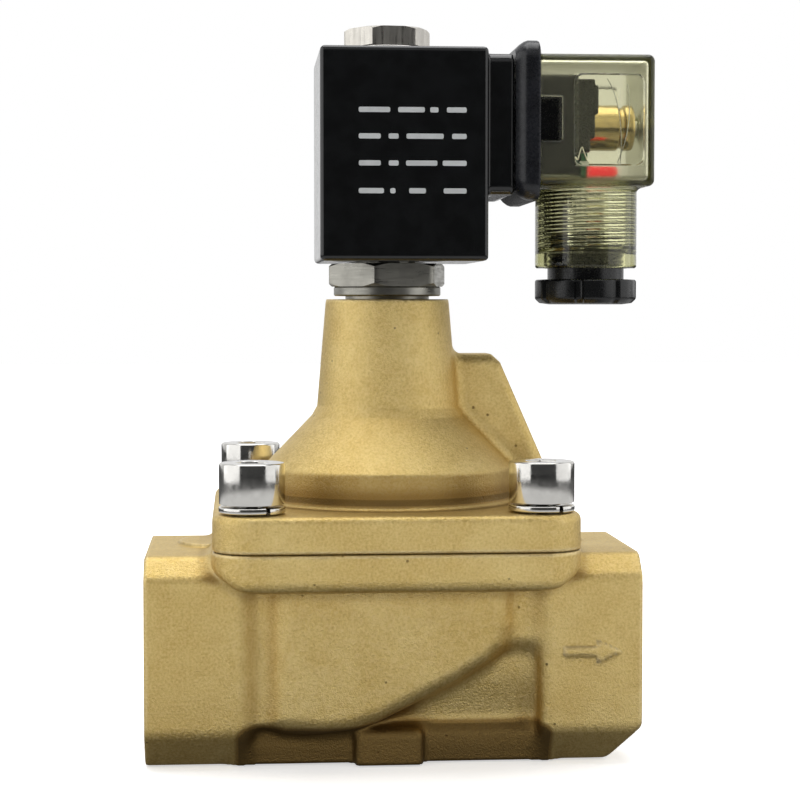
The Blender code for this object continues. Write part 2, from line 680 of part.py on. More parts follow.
def diaphragm_metal(parent):
    """The plates that stiffen the diaphragm's middle, their bolt and nut, and the closing spring."""
    above = DIAPHRAGM_LOW + RUBBER_THICK + GAP
    crown = above + 1.8
    upper = [(BOLT_HOLE_R, above), (PLATE_R - 0.6, above), (PLATE_R, above + 0.6), (PLATE_R, crown - 0.4)]
    upper += [(PLATE_R - 0.6, crown), (BOLT_HOLE_R, crown)]
    finish_piece("backing_plate", turned(upper), STAINLESS, parent)
    below = DIAPHRAGM_LOW - GAP
    keel = below - 1.8
    lower = [(BOLT_HOLE_R, keel), (SEAT_PLATE_R - 0.6, keel), (SEAT_PLATE_R, keel + 0.6)]
    lower += [(SEAT_PLATE_R, below), (BOLT_HOLE_R, below)]
    finish_piece("seat_plate", turned(lower), STAINLESS, parent)
    head_top, nut_low = keel - GAP, crown + GAP
    head = prism(regular(BOLT_HEAD_R, 6), head_top - 2.9, head_top)
    bolt = finish_piece("diaphragm_bolt", head, STAINLESS, parent)
    add(bolt, cylinder(BOLT_R, head_top - 0.5, nut_low + 3.7, SMALL))
    nut = prism(regular(BOLT_HEAD_R, 6), nut_low, nut_low + 2.7)
    nut = finish_piece("diaphragm_nut", nut, STAINLESS, parent)
    cut(nut, cylinder(BOLT_HOLE_R, nut_low - 1.0, nut_low + 4.0, SMALL))
    spring = helix(MAIN_SPRING_R, MAIN_WIRE_R, nut_low, SPRING_CUP_TOP - GAP, 5, 13, 5)
    finish_piece("main_spring", spring, SPRING_STEEL, parent)


# === coil ============================================================================
def coil_outline(inset, steps=3):
    half_x = (COIL_RIGHT - COIL_LEFT) / 2
    centre = ((COIL_RIGHT + COIL_LEFT) / 2, 0.0)
    return rounded_box(half_x - inset, COIL_HALF_Y - inset, COIL_EDGE - inset * 0.7, steps, centre)


def coil_housing(parent):
    """Moulded block with the connector pad, open round the tube above and below."""
    sections = []
    for share in (0.0, 0.5, 1.0):
        inset = COIL_EDGE * (1 - sin(share * pi / 2))
        sections.append((coil_outline(inset), COIL_LOW + COIL_EDGE * (1 - cos(share * pi / 2))))
    for share in (1.0, 0.5, 0.0):
        inset = COIL_EDGE * (1 - sin(share * pi / 2))
        sections.append((coil_outline(inset), COIL_TOP - COIL_EDGE * (1 - cos(share * pi / 2))))
    made = finish_piece("coil_housing", loft(sections), COIL_BLACK, parent)
    pad_middle = (0.0, (PAD_LOW + PAD_TOP) / 2)
    pad = rounded_box(PAD_HALF_Y, (PAD_TOP - PAD_LOW) / 2, 2.0, 3, pad_middle)
    add(made, prism(pad, COIL_RIGHT - 2.0, PAD_END, "x"))
    near = (-HOLLOW_HALF_X, -HOLLOW_HALF_Y, HOLLOW_LOW)
    cut(made, block(near, (HOLLOW_HALF_X, HOLLOW_HALF_Y, HOLLOW_TOP)))
    cut(made, cylinder(COIL_BORE_R, COIL_LOW - 1.0, COIL_TOP + 1.0, MEDIUM))
    cut(made, cylinder(1.8, 18.9, PAD_END + 1.0, SMALL, "x", (0.0, SCREW_AXIS_Z)))
    return made


def yoke_frame(parent):
    """Rectangular magnet frame of folded steel strip round the winding."""
    clear = 0.4
    x, y = HOLLOW_HALF_X - clear, HOLLOW_HALF_Y - clear
    low, high = HOLLOW_LOW + clear, HOLLOW_TOP - clear
    made = finish_piece("yoke_frame", block((-x, -y, low), (x, y, high)), STAINLESS, parent)
    inside = y - YOKE_THICK
    cut(made, block((-x - 1.0, -inside, low + YOKE_THICK), (x + 1.0, inside, high - YOKE_THICK)))
    cut(made, cylinder(COIL_BORE_R + 0.2, low - 1.0, high + 1.0, MEDIUM))
    return made


def coil_bobbin(parent):
    low, high = HOLLOW_LOW + YOKE_THICK + 0.7, HOLLOW_TOP - YOKE_THICK - 0.7
    bore, tube, flange, thick = COIL_BORE_R + 0.2, WINDING_INNER_R - GAP, WINDING_R + 0.2, 1.4
    profile = [(bore, low), (flange, low), (flange, low + thick), (tube, low + thick)]
    profile += [(tube, high - thick), (flange, high - thick), (flange, high), (bore, high)]
    return finish_piece("coil_bobbin", turned(profile, MEDIUM), NYLON_BLACK, parent)


def coil_winding(parent):
    low, high = HOLLOW_LOW + YOKE_THICK + 2.4, HOLLOW_TOP - YOKE_THICK - 2.4
    profile = [(WINDING_INNER_R, low), (WINDING_R, low), (WINDING_R, high), (WINDING_INNER_R, high)]
    return finish_piece("coil_winding", turned(profile, MEDIUM), COPPER, parent)


def coil_pins(parent):
    """Two flat blades side by side and an earth blade across them below."""
    start = PAD_END + GAP
    z, wide, thin = SCREW_AXIS_Z, PIN_HALF_WIDTH, PIN_HALF_THICK
    for name, y in (("coil_pin_left", -PIN_SPREAD_Y), ("coil_pin_right", PIN_SPREAD_Y)):
        blade = block((start, y - thin, z - wide), (PIN_END, y + thin, z + wide), 0.2, 1)
        finish_piece(name, blade, PLATED, parent)
    z -= EARTH_DROP
    blade = block((start, -wide, z - thin), (PIN_END, wide, z + thin), 0.2, 1)
    finish_piece("coil_pin_earth", blade, PLATED, parent)


def coil_nut():
    chamfer, clear = 0.9, NUT_R + 0.2
    made = finish_piece("coil_nut", prism(regular(NUT_R, 6, NUT_TURN), NUT_LOW, NUT_TOP), PLATED)
    trim = [(0.0, NUT_LOW - 0.1), (clear, NUT_LOW - 0.1), (clear, NUT_TOP - chamfer)]
    trim += [(NUT_R - 1.2, NUT_TOP + 0.1), (0.0, NUT_TOP + 0.1)]
    operand(made, turned(trim, BIG), "INTERSECT")
    cut(made, cylinder(STUD_R + GAP, NUT_LOW - 1.0, NUT_TOP + 1.0, MEDIUM))
    return made


def nut_washer():
    bore, low, high = TUBE_R + GAP, COIL_TOP + GAP, NUT_LOW - GAP
    profile = [(bore, low), (NUT_WASHER_R, low), (NUT_WASHER_R, high), (bore, high)]
    return finish_piece("nut_washer", turned(profile, MEDIUM), PLATED)


# === connector =======================================================================
def connector_gasket(parent):
    """Profiled rubber gasket that seals the plug against the coil's pad."""
    flare, window_half = 1.3, 11.4
    half = (GASKET_TOP - GASKET_LOW) / 2
    middle = (0.0, (GASKET_TOP + GASKET_LOW) / 2)
    full = rounded_box(GASKET_HALF_Y, half, 3.6, 4, middle)
    eased = rounded_box(GASKET_HALF_Y - flare, half - flare, 2.6, 4, middle)
    sections = [(eased, GASKET_LEFT), (full, GASKET_LEFT + flare), (full, GASKET_RIGHT)]
    made = finish_piece("connector_gasket", loft(sections, "x"), GASKET_GREY, parent)
    window = rounded_box(window_half, window_half, 1.5, 3, (0.0, SCREW_AXIS_Z))
    cut(made, prism(window, GASKET_LEFT - 1.0, GASKET_RIGHT + 1.0, "x"))
    return made


def connector_cover(parent):
    """Clear shell, open towards the coil, with the round cable barrel below."""
    soft, inner_y = 1.2, COVER_HALF_Y - COVER_WALL
    half_y, half_z = COVER_HALF_Y, (COVER_TOP - COVER_LOW) / 2
    middle = (0.0, (COVER_TOP + COVER_LOW) / 2)
    barrel = (BARREL_X, 0.0)
    full = rounded_box(half_y, half_z, 1.8, 3, middle)
    eased = rounded_box(half_y - soft, half_z - soft, soft, 3, middle)
    shell = loft([(full, COVER_LEFT), (full, COVER_RIGHT - soft), (eased, COVER_RIGHT)], "x")
    made = finish_piece("connector_cover", shell, SMOKED_CLEAR, parent)
    add(made, cylinder(BARREL_R, BARREL_LOW, COVER_LOW + 1.0, BIG, "z", barrel))
    hollow = rounded_box(inner_y, half_z - COVER_WALL, 1.0, 3, middle)
    cut(made, prism(hollow, COVER_LEFT - 1.0, COVER_RIGHT - COVER_WALL, "x"))
    cut(made, cylinder(BARREL_BORE_R, BARREL_LOW - 1.0, COVER_LOW + 3.0, BIG, "z", barrel))
    screw_hole = cylinder(2.0, COVER_RIGHT - 4.0, COVER_RIGHT + 1.0, SMALL, "x", (0.0, SCREW_AXIS_Z))
    cut(made, screw_hole)
    return made


def terminal_block(parent):
    """Black terminal carrier with slots for the coil's blades."""
    z, wide, thick, behind = SCREW_AXIS_Z, PIN_HALF_WIDTH + 0.8, PIN_HALF_THICK + 1.0, CARRIER_LEFT - 1.0
    near = (CARRIER_LEFT, -CARRIER_HALF_Y, z - 10.0)
    far = (CARRIER_RIGHT, CARRIER_HALF_Y, z + 9.4)
    made = finish_piece("terminal_block", block(near, far, 0.6, 1), NYLON_BLACK, parent)
    deep = PIN_END + 1.0
    for y in (-PIN_SPREAD_Y, PIN_SPREAD_Y):
        cut(made, block((behind, y - thick, z - wide), (deep, y + thick, z + wide)))
    low, high = z - EARTH_DROP - 0.9, z - EARTH_DROP + 0.9
    cut(made, block((behind, -wide, low), (deep, wide, high)))
    cut(made, cylinder(2.1, behind, CARRIER_RIGHT + 1.6, SMALL, "x", (0.0, z)))
    return made


def blade_sockets(parent):
    """Folded metal clips that grip the two contact blades."""
    z, left, right = SCREW_AXIS_Z, 26.2, 34.7
    for name, y in (("socket_left", -PIN_SPREAD_Y), ("socket_right", PIN_SPREAD_Y)):
        clip = block((left, y - 1.1, z - 3.6), (right, y + 1.1, z + 3.6))
        made = finish_piece(name, clip, PLATED, parent)
        cut(made, block((left - 1.0, y - 0.7, z - 3.4), (right - 0.2, y + 0.7, z + 3.4)))


def connector_fixing(parent):
    """Slotted screw that holds the plug on the coil, inside its brass sleeve."""
    axis, bore, shank, head = (0.0, SCREW_AXIS_Z), 2.0, 1.5, 2.9
    profile = [(bore, SLEEVE_LEFT), (SLEEVE_R, SLEEVE_LEFT), (SLEEVE_R, SLEEVE_RIGHT), (bore, SLEEVE_RIGHT)]
    finish_piece("screw_sleeve", turned(profile, MEDIUM, "x", axis), BRASS, parent)
    under = COVER_RIGHT + 0.4
    screw = [(0.0, 19.4), (shank, 19.4), (shank, under - 0.2), (head, under), (head, under + 1.1)]
    screw += [(head - 0.6, under + 1.5), (0.0, under + 1.5)]
    made = finish_piece("connector_screw", turned(screw, SMALL, "x", axis), PLATED, parent)
    slot = 0.45
    near = (under + 0.7, -head - 1.0, SCREW_AXIS_Z - slot)
    cut(made, block(near, (under + 2.5, head + 1.0, SCREW_AXIS_Z + slot)))


def indicator(parent):
    """Small board below the sleeve, with a round-nosed lamp."""
    z, r = SCREW_AXIS_Z, 1.7
    back, front = CARRIER_RIGHT + 0.6, CARRIER_RIGHT + 1.8
    board = block((back, -10.4, z - 10.8), (front, 8.6, z - 5.8))
    finish_piece("indicator_board", board, BOARD_GREEN, parent)
    foot, crown = front + 0.4, front + 4.8
    lamp = [(0.0, foot), (r, foot), (r, crown)] + arc((0.0, crown), r, 15, 90, 4)
    finish_piece("indicator_lamp", turned(lamp, SMALL, "x", (-7.8, z - 9.2)), LAMP_RED, parent)


def cable_seal(parent):
    outer, low, high = 7.3, 98.4, 101.8
    profile = [(GLAND_HOLE_R, low), (outer, low), (outer, high), (GLAND_HOLE_R, high)]
    finish_piece("cable_seal", turned(profile, MEDIUM, "z", (BARREL_X, 0.0)), RUBBER, parent)


def gland_nut(parent):
    """Compression nut with a lobed grip; its neck screws up into the barrel."""
    place, soft, lobe_r = (BARREL_X, 0.0), 0.4, 1.7
    profile = [(GLAND_HOLE_R, GLAND_NUT_LOW), (GLAND_NUT_R - 1.6, GLAND_NUT_LOW)]
    profile += [(GLAND_NUT_R, GLAND_NUT_LOW + 1.3), (GLAND_NUT_R, GLAND_NUT_TOP - soft)]
    profile += [(GLAND_NUT_R - soft, GLAND_NUT_TOP), (GLAND_NECK_R, GLAND_NUT_TOP)]
    profile += [(GLAND_NECK_R, GLAND_NECK_TOP), (GLAND_HOLE_R, GLAND_NECK_TOP)]
    made = finish_piece("gland_nut", turned(profile, BIG, "z", place), NYLON_BLACK, parent)
    for x, y in regular(GLAND_NUT_R + 1.0, 8, 22.5, place):
        cut(made, cylinder(lobe_r, GLAND_NUT_LOW - 1.0, GLAND_NUT_TOP + 0.5, 10, "z", (x, y)))
    return made


# === the valve =======================================================================
valve_body()
bonnet()
pilot_seat()
for position, place in zip(("front_left", "front_right", "rear_left", "rear_right"), corner_places()):
    cap_screw(f"cap_screw_{position}", place)
    spring_washer(f"spring_washer_{position}", place)
tube_base()
armature_tube()
tube_seal()
fixed_core()
shading_ring()
coil_nut()
nut_washer()

plunger_axis = joint_empty("plunger_axis", 0.0, 0.0, PLUNGER_LOW)
plunger_pieces(plunger_axis)
diaphragm_axis = joint_empty("diaphragm_axis", 0.0, 0.0, SEAT_Z)
diaphragm(diaphragm_axis)
diaphragm_metal(diaphragm_axis)

coil_axis = joint_empty("coil_axis", 0.0, 0.0, COIL_LOW)
coil_housing(coil_axis)
yoke_frame(coil_axis)
coil_bobbin(coil_axis)
coil_winding(coil_axis)
coil_pins(coil_axis)

plug_axis = joint_empty("plug_axis", GASKET_LEFT, 0.0, SCREW_AXIS_Z, coil_axis)
connector_gasket(plug_axis)
connector_cover(plug_axis)
terminal_block(plug_axis)
blade_sockets(plug_axis)
connector_fixing(plug_axis)
indicator(plug_axis)
cable_seal(plug_axis)
gland_axis = joint_empty("gland_axis", BARREL_X, 0.0, GLAND_NUT_TOP, plug_axis)
gland_nut(gland_axis)
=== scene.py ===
import bmesh
import bpy
import math
import numpy as np
from mathutils import Matrix, Vector


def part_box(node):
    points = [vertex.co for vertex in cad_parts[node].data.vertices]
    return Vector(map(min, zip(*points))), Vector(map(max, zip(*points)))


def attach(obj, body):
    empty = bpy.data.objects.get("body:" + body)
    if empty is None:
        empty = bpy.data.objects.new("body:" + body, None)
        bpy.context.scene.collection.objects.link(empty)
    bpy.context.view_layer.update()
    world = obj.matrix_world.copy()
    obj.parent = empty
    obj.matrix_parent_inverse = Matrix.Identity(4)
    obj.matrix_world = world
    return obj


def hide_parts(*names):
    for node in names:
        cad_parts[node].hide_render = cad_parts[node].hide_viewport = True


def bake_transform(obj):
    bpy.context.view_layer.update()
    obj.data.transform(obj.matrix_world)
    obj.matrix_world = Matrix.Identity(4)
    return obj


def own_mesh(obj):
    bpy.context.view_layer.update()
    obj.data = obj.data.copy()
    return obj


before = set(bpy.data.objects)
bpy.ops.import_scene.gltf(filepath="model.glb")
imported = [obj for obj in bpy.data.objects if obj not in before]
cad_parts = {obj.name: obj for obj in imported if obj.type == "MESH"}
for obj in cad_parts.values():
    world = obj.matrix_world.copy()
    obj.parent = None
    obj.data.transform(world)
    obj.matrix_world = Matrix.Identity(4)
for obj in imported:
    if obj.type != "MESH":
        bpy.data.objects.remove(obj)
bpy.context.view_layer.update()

MM = 0.001


def box_mm(node):
    """Lowest and highest corner of a CAD node, in millimetres."""
    low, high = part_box(node)
    return np.array(low) / MM, np.array(high) / MM


# === where things are, in millimetres, from the frame ===
BODY_LOW, BODY_HIGH = box_mm("valve_body")
BONNET_LOW, BONNET_HIGH = box_mm("bonnet")
PORT_END = BODY_HIGH[0]
PARTING = (BODY_HIGH[2] + BONNET_LOW[2]) / 2
FLANGE_HALF = BODY_HIGH[1]
NECK_TOP = BONNET_HIGH[2]
HALF_GAP = 0.06
SCREWS = {
    place: (sum(b[0] for b in box_mm(f"cap_screw_{place}")) / 2,
            sum(b[1] for b in box_mm(f"cap_screw_{place}")) / 2)
    for place in ("front_left", "front_right", "rear_left", "rear_right")
}


# === node materials ===
class Nodes:
    """Short names for the shader nodes that the materials share."""

    def __init__(self, name):
        self.material = bpy.data.materials.new(name)
        self.material.use_nodes = True
        self.tree = self.material.node_tree
        self.shader = self.tree.nodes["Principled BSDF"]
        self.place = self.tree.nodes.new("ShaderNodeTexCoord").outputs["Object"]

    def put(self, kind, **values):
        node = self.tree.nodes.new(kind)
        for key, value in values.items():
            setattr(node, key, value)
        return node

    def link(self, source, target):
        self.tree.links.new(source, target)

    def give(self, value, socket):
        if isinstance(value, bpy.types.NodeSocket):
            self.link(value, socket)
        else:
            socket.default_value = value

    def set(self, **values):
        for key, value in values.items():
            self.give(value, self.shader.inputs[key.replace("_", " ")])

    def noise(self, size_mm, detail=3.0, rough=0.55, stretch=(1.0, 1.0, 1.0)):
        node = self.put("ShaderNodeTexNoise")
        for key, number in (("Scale", 1.0 / (size_mm * MM)), ("Detail", detail), ("Roughness", rough)):
            node.inputs[key].default_value = number
        mapping = self.put("ShaderNodeMapping")
        mapping.inputs["Scale"].default_value = stretch
        self.link(self.place, mapping.inputs["Vector"])
        self.link(mapping.outputs["Vector"], node.inputs["Vector"])
        return node.outputs["Fac"]

    def attribute(self, name):
        return self.put("ShaderNodeAttribute", attribute_name=name).outputs["Fac"]

    def spread(self, value, low, high, to_low=0.0, to_high=1.0):
        node = self.put("ShaderNodeMapRange", interpolation_type="SMOOTHSTEP")
        for key, number in (("From Min", low), ("From Max", high), ("To Min", to_low), ("To Max", to_high)):
            node.inputs[key].default_value = number
        self.link(value, node.inputs["Value"])
        return node.outputs["Result"]

    def maths(self, operation, a, b=0.0):
        node = self.put("ShaderNodeMath", operation=operation)
        for socket, value in zip(node.inputs, (a, b)):
            self.give(value, socket)
        return node.outputs["Value"]

    def mix(self, share, a, b):
        node = self.put("ShaderNodeMix", data_type="RGBA")
        self.give(share, node.inputs["Factor"])
        colours = [s for s in node.inputs if s.type == "RGBA"]
        for socket, value in zip(colours, (a, b)):
            self.give((*value, 1.0) if isinstance(value, tuple) else value, socket)
        return [s for s in node.outputs if s.type == "RGBA"][0]

    def bump(self, height, depth_mm):
        node = self.put("ShaderNodeBump")
        node.inputs["Distance"].default_value = depth_mm * MM
        self.link(height, node.inputs["Height"])
        self.link(node.outputs["Normal"], self.shader.inputs["Normal"])


def cast_brass():
    """Blasted cast brass: coarse grain, hollows darkened with painted shade, rubbed edges and a few dark
    pits.
    """
    n = Nodes("cast_brass")
    broad, cloud = n.noise(16.0, 3.0), n.noise(3.2, 4.0)
    grain, speck = n.noise(0.50, 3.0, 0.65), n.noise(0.25, 2.0, 0.5)
    colour = n.mix(n.spread(broad, 0.35, 0.68), (0.63, 0.455, 0.155), (0.715, 0.545, 0.215))
    colour = n.mix(n.spread(cloud, 0.42, 0.72, 0.0, 0.40), colour, (0.55, 0.37, 0.11))
    colour = n.mix(n.spread(grain, 0.40, 0.66, 0.0, 0.42), colour, (0.90, 0.73, 0.38))
    colour = n.mix(n.spread(grain, 0.48, 0.30, 0.0, 0.28), colour, (0.40, 0.26, 0.08))
    colour = n.mix(n.spread(speck, 0.60, 0.74, 0.0, 0.35), colour, (0.32, 0.20, 0.065))
    # Painted shade: the hollow value darkens the brass toward brown and, where deepest, nearly black; on the
    # body's sole it also carries a brown stain.
    depth = n.attribute("hollow")
    hollow = n.spread(depth, 0.12, 0.85)
    colour = n.mix(n.maths("MULTIPLY", hollow, 0.88), colour, (0.26, 0.155, 0.045))
    colour = n.mix(n.spread(depth, 0.93, 1.0, 0.0, 0.6), colour, (0.115, 0.075, 0.028))
    rubbed = n.spread(n.attribute("edge"), 0.18, 0.7)
    rubbed = n.maths("MULTIPLY", rubbed, n.spread(cloud, 0.3, 0.6, 0.5, 1.0))
    colour = n.mix(n.maths("MULTIPLY", rubbed, 0.45), colour, (0.90, 0.76, 0.46))
    pits = n.put("ShaderNodeTexVoronoi")
    pits.inputs["Scale"].default_value = 1.0 / (5.0 * MM)
    n.link(n.place, pits.inputs["Vector"])
    pit = n.spread(pits.outputs["Distance"], 0.03, 0.07, 1.0, 0.0)
    colour = n.mix(n.maths("MULTIPLY", pit, 0.7), colour, (0.17, 0.10, 0.035))
    split = n.put("ShaderNodeSeparateXYZ")
    n.link(n.place, split.inputs["Vector"])
    seam = n.maths("ABSOLUTE", n.maths("SUBTRACT", split.outputs["Z"], PARTING * MM))
    seam = n.spread(seam, 0.08 * MM, 0.22 * MM, 0.5, 0.0)
    colour = n.mix(seam, colour, (0.09, 0.05, 0.02))
    rough = n.maths("SUBTRACT", n.spread(grain, 0.3, 0.7, 0.38, 0.52), n.maths("MULTIPLY", rubbed, 0.10))
    n.set(Base_Color=colour, Metallic=1.0, Roughness=rough)
    height = n.maths("ADD", grain, n.maths("MULTIPLY", speck, 0.35))
    height = n.maths("SUBTRACT", height, n.maths("MULTIPLY", pit, 0.8))
    n.bump(height, 0.13)
    return n.material


CAST_BRASS = cast_brass()


# === distance fields ===
def smooth_min(a, b, k):
    """Union of two distances, blended with a fillet where they are within k of each other."""
    h = np.clip(0.5 + 0.5 * (b - a) / k, 0.0, 1.0)
    return b + (a - b) * h - k * h * (1.0 - h)


def smooth_max(a, b, k):
    return -smooth_min(-a, -b, k)


def flat_box(x, y, half_x, half_y, radius):
    """Distance to a rectangle with round corners in a plane."""
    dx = np.abs(x) - (half_x - radius)
    dy = np.abs(y) - (half_y - radius)
    outside = np.sqrt(np.maximum(dx, 0.0) ** 2 + np.maximum(dy, 0.0) ** 2)
    return outside + np.minimum(np.maximum(dx, dy), 0.0) - radius


def slab(value, low, high):
    """Distance to the space between two parallel planes."""
    return np.abs(value - (low + high) / 2) - (high - low) / 2


def combine(a, b, radius):
    """Intersection of two distances, with a round edge."""
    a, b = a + radius, b + radius
    outside = np.sqrt(np.maximum(a, 0.0) ** 2 + np.maximum(b, 0.0) ** 2)
    return outside + np.minimum(np.maximum(a, b), 0.0) - radius


def rod(a, b, centre, radius):
    """Distance to an endless round rod, from the two coordinates across it."""
    return np.sqrt((a - centre[0]) ** 2 + (b - centre[1]) ** 2) - radius


def solid_box(x, y, z, low, high, radius):
    """Distance to a box with round edges and corners."""
    mid = [(a + b) / 2 for a, b in zip(low, high)]
    half = [(b - a) / 2 - radius for a, b in zip(low, high)]
    d = [np.abs(v - m) - h for v, m, h in zip((x, y, z), mid, half)]
    outside = np.sqrt(sum(np.maximum(v, 0.0) ** 2 for v in d))
    return outside + np.minimum(np.maximum(np.maximum(d[0], d[1]), d[2]), 0.0) - radius


def flat_polygon(x, y, points):
    """Signed distance to a closed outline in a plane."""
    best = None
    sign = None
    for (ax, ay), (bx, by) in zip(points, points[1:] + points[:1]):
        ex, ey = bx - ax, by - ay
        wx, wy = x - ax, y - ay
        t = np.clip((wx * ex + wy * ey) / (ex * ex + ey * ey), 0.0, 1.0)
        d = (wx - ex * t) ** 2 + (wy - ey * t) ** 2
        best = d if best is None else np.minimum(best, d)
        crosses = (y >= ay) != (y >= by)
        side = (ex * wy - ey * wx > 0.0) == (by > ay)
        flip = np.where(crosses & side, -1.0, 1.0)
        sign = flip if sign is None else sign * flip
    return sign * np.sqrt(best)


def half_space(x, z, point, normal):
    """Distance to the plane through a point, positive on the side its normal points to."""
    length = math.hypot(*normal)
    return ((x - point[0]) * normal[0] + (z - point[1]) * normal[1]) / length


def surface_net(field, low, step):
    """Quads through the zero level of a grid of distances: (points, quads)."""
    inside = field < 0.0
    shape = tuple(n - 1 for n in field.shape)
    corners = [(i, j, k) for i in (0, 1) for j in (0, 1) for k in (0, 1)]

    def corner(grid, c):
        return grid[c[0]:c[0] + shape[0], c[1]:c[1] + shape[1], c[2]:c[2] + shape[2]]

    count = sum(corner(inside, c).astype(np.int8) for c in corners)
    cells = np.nonzero((count > 0) & (count < 8))
    index = np.full(shape, -1, np.int64)
    index[cells] = np.arange(len(cells[0]))
    total = np.zeros((len(cells[0]), 3))
    hits = np.zeros(len(cells[0]))
    for a in corners:
        for axis in range(3):
            if a[axis]:
                continue
            b = tuple(v + (m == axis) for m, v in enumerate(a))
            fa = field[tuple(c + o for c, o in zip(cells, a))]
            fb = field[tuple(c + o for c, o in zip(cells, b))]
            change = (fa < 0.0) != (fb < 0.0)
            share = np.where(change, fa / np.where(change, fa - fb, 1.0), 0.0)
            for m in range(3):
                at = a[m] + (share if m == axis else 0.0)
                total[:, m] += np.where(change, at, 0.0)
            hits += change
    points = (np.stack(cells, 1) + total / hits[:, None]) * step + low
    quads = []
    for axis in range(3):
        u, v = (axis + 1) % 3, (axis + 2) % 3
        start = [slice(1, n - 1) for n in field.shape]
        end = list(start)
        start[axis], end[axis] = slice(0, -1), slice(1, None)
        a, b = inside[tuple(start)], inside[tuple(end)]
        for rising in (True, False):
            where = np.nonzero(a & ~b if rising else ~a & b)
            base = [w + (0 if m == axis else 1) for m, w in enumerate(where)]
            ring = []
            for du, dv in ((-1, -1), (0, -1), (0, 0), (-1, 0)):
                place = list(base)
                place[u] = base[u] + du
                place[v] = base[v] + dv
                ring.append(index[tuple(place)])
            quads.append(np.stack(ring if rising else ring[::-1], 1))
    return points, np.concatenate(quads)


def in_scene(name, data, material=None):
    """Puts a mesh, curve, light or camera into the scene as an object."""
    if material is not None:
        data.materials.append(material)
    made = bpy.data.objects.new(name, data)
    bpy.context.scene.collection.objects.link(made)
    return made


def mesh_object(name, points_mm, faces, material):
    """An object from points in millimetres and an array of equal-sized faces."""
    mesh = bpy.data.meshes.new(name)
    size = faces.shape[1]
    mesh.vertices.add(len(points_mm))
    mesh.vertices.foreach_set("co", (points_mm * MM).astype(np.float32).ravel())
    mesh.loops.add(faces.size)
    mesh.loops.foreach_set("vertex_index", faces.astype(np.int32).ravel())
    mesh.polygons.add(len(faces))
    mesh.polygons.foreach_set("loop_start", np.arange(0, faces.size, size, dtype=np.int32))
    mesh.update(calc_edges=True)
    mesh.validate()
    mesh.shade_smooth()
    return in_scene(name, mesh, material)


def field_object(name, field, low, high, step, material, stain_and_painted_shade=None):
    """Meshes a distance field and records where its surface is hollow or an edge, plus any stain and painted
    shade given.
    """
    axes = [np.arange(a - 2 * step, b + 2 * step, step) for a, b in zip(low, high)]
    grid = np.meshgrid(*axes, indexing="ij", sparse=True)
    values = np.broadcast_to(field(*grid), tuple(len(a) for a in axes))
    points, quads = surface_net(values, np.array([a[0] for a in axes]), step)

    def at(p):
        return field(p[:, 0], p[:, 1], p[:, 2])

    reach = 0.04
    for _ in range(2):
        slope = np.stack([at(points + d) - at(points - d) for d in np.eye(3) * reach], 1) / (2 * reach)
        normal = slope / np.maximum(np.linalg.norm(slope, axis=1, keepdims=True), 1e-6)
        move = np.clip(at(points), -0.6 * step, 0.6 * step)
        points = points - normal * move[:, None]
    made = mesh_object(name, points, quads, material)
    for label, side, depth in (("hollow", 1.0, 4.0), ("edge", -1.0, 1.1)):
        away = side * at(points + normal * depth * side) / depth
        values = np.clip(1.0 - away, 0.0, 1.0).astype(np.float32)
        # The extra mask raises the hollow value, which the brass paints as shade, and lowers the edge value
        # there.
        if stain_and_painted_shade is not None:
            values = np.clip(values + side * stain_and_painted_shade(*points.T), 0.0, 1.0).astype(np.float32)
        made.data.attributes.new(label, "FLOAT", "POINT").data.foreach_set("value", values)
    return made


def stands_for(piece, body_name, slot, *nodes):
    """The piece moves with a body and is shown in place of any nodes named; slot is not used."""
    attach(piece, body_name)
    if nodes:
        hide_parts(*nodes)


# === cast body ===
SCREW_HOLE_R = 3.25
FLANGE_CORNER = 8.0
PORT_HALF_Y = 22.0
PORT_TOP = 40.3
PORT_AXIS = 20.15
SHOULDER = 27.9
THREAD_PITCH = 2.309
THREAD_MINOR = 15.2
THREAD_DEPTH = 1.25
THREAD_LENGTH = 18.0
PASSAGE_R = 12.3
SEAT_R = 12.4
CHAMBER_OUTER, CHAMBER_INNER = 20.6, 15.2


def port_section(y, z):
    """The flatted section of a port, as a smooth meeting of half planes."""
    d = np.maximum(np.abs(y) - PORT_HALF_Y, slab(z, 0.0, PORT_TOP))
    upper = half_space(np.abs(y), z, (PORT_HALF_Y, PORT_TOP - 4.0), (1.0, 1.0))
    lower = half_space(np.abs(y), z, (PORT_HALF_Y, 6.6), (6.6, -5.0))
    return smooth_max(smooth_max(d, upper, 0.9), lower, 0.9)


def threaded_bore(x, y, z):
    """G1 socket at either end: helical V groove, lead-in chamfer and run-out."""
    radius = np.sqrt(y ** 2 + (z - PORT_AXIS) ** 2)
    turn = np.arctan2(z - PORT_AXIS, y) / (2 * np.pi)
    depth = PORT_END - np.abs(x)
    phase = (depth / THREAD_PITCH + turn * np.sign(x)) % 1.0
    groove = THREAD_DEPTH * (1.0 - 2.0 * np.abs(phase - 0.5))
    groove = groove * np.clip((THREAD_LENGTH - 2.0 - depth) / 2.0, 0.0, 1.0)
    wall = THREAD_MINOR + np.clip(groove, 0.12, THREAD_DEPTH - 0.12)
    mouth = THREAD_MINOR + THREAD_DEPTH + 0.9 - depth
    return np.maximum(0.8 * (radius - np.maximum(wall, mouth)), depth - THREAD_LENGTH)


BELLY = [(-23.0, 9.0), (-21.0, 7.3), (-14.0, 6.5), (-8.0, 7.0), (-3.0, 8.6), (3.4, 11.8), (12.1, 16.2),
         (18.2, 20.0), (20.8, 23.0), (21.8, 27.0), (21.8, 37.0), (-23.0, 37.0)]
ARROW = [(32.2, 20.9), (38.6, 20.9), (38.6, 19.5), (43.4, 21.8), (38.6, 24.1), (38.6, 22.7), (32.2, 22.7)]


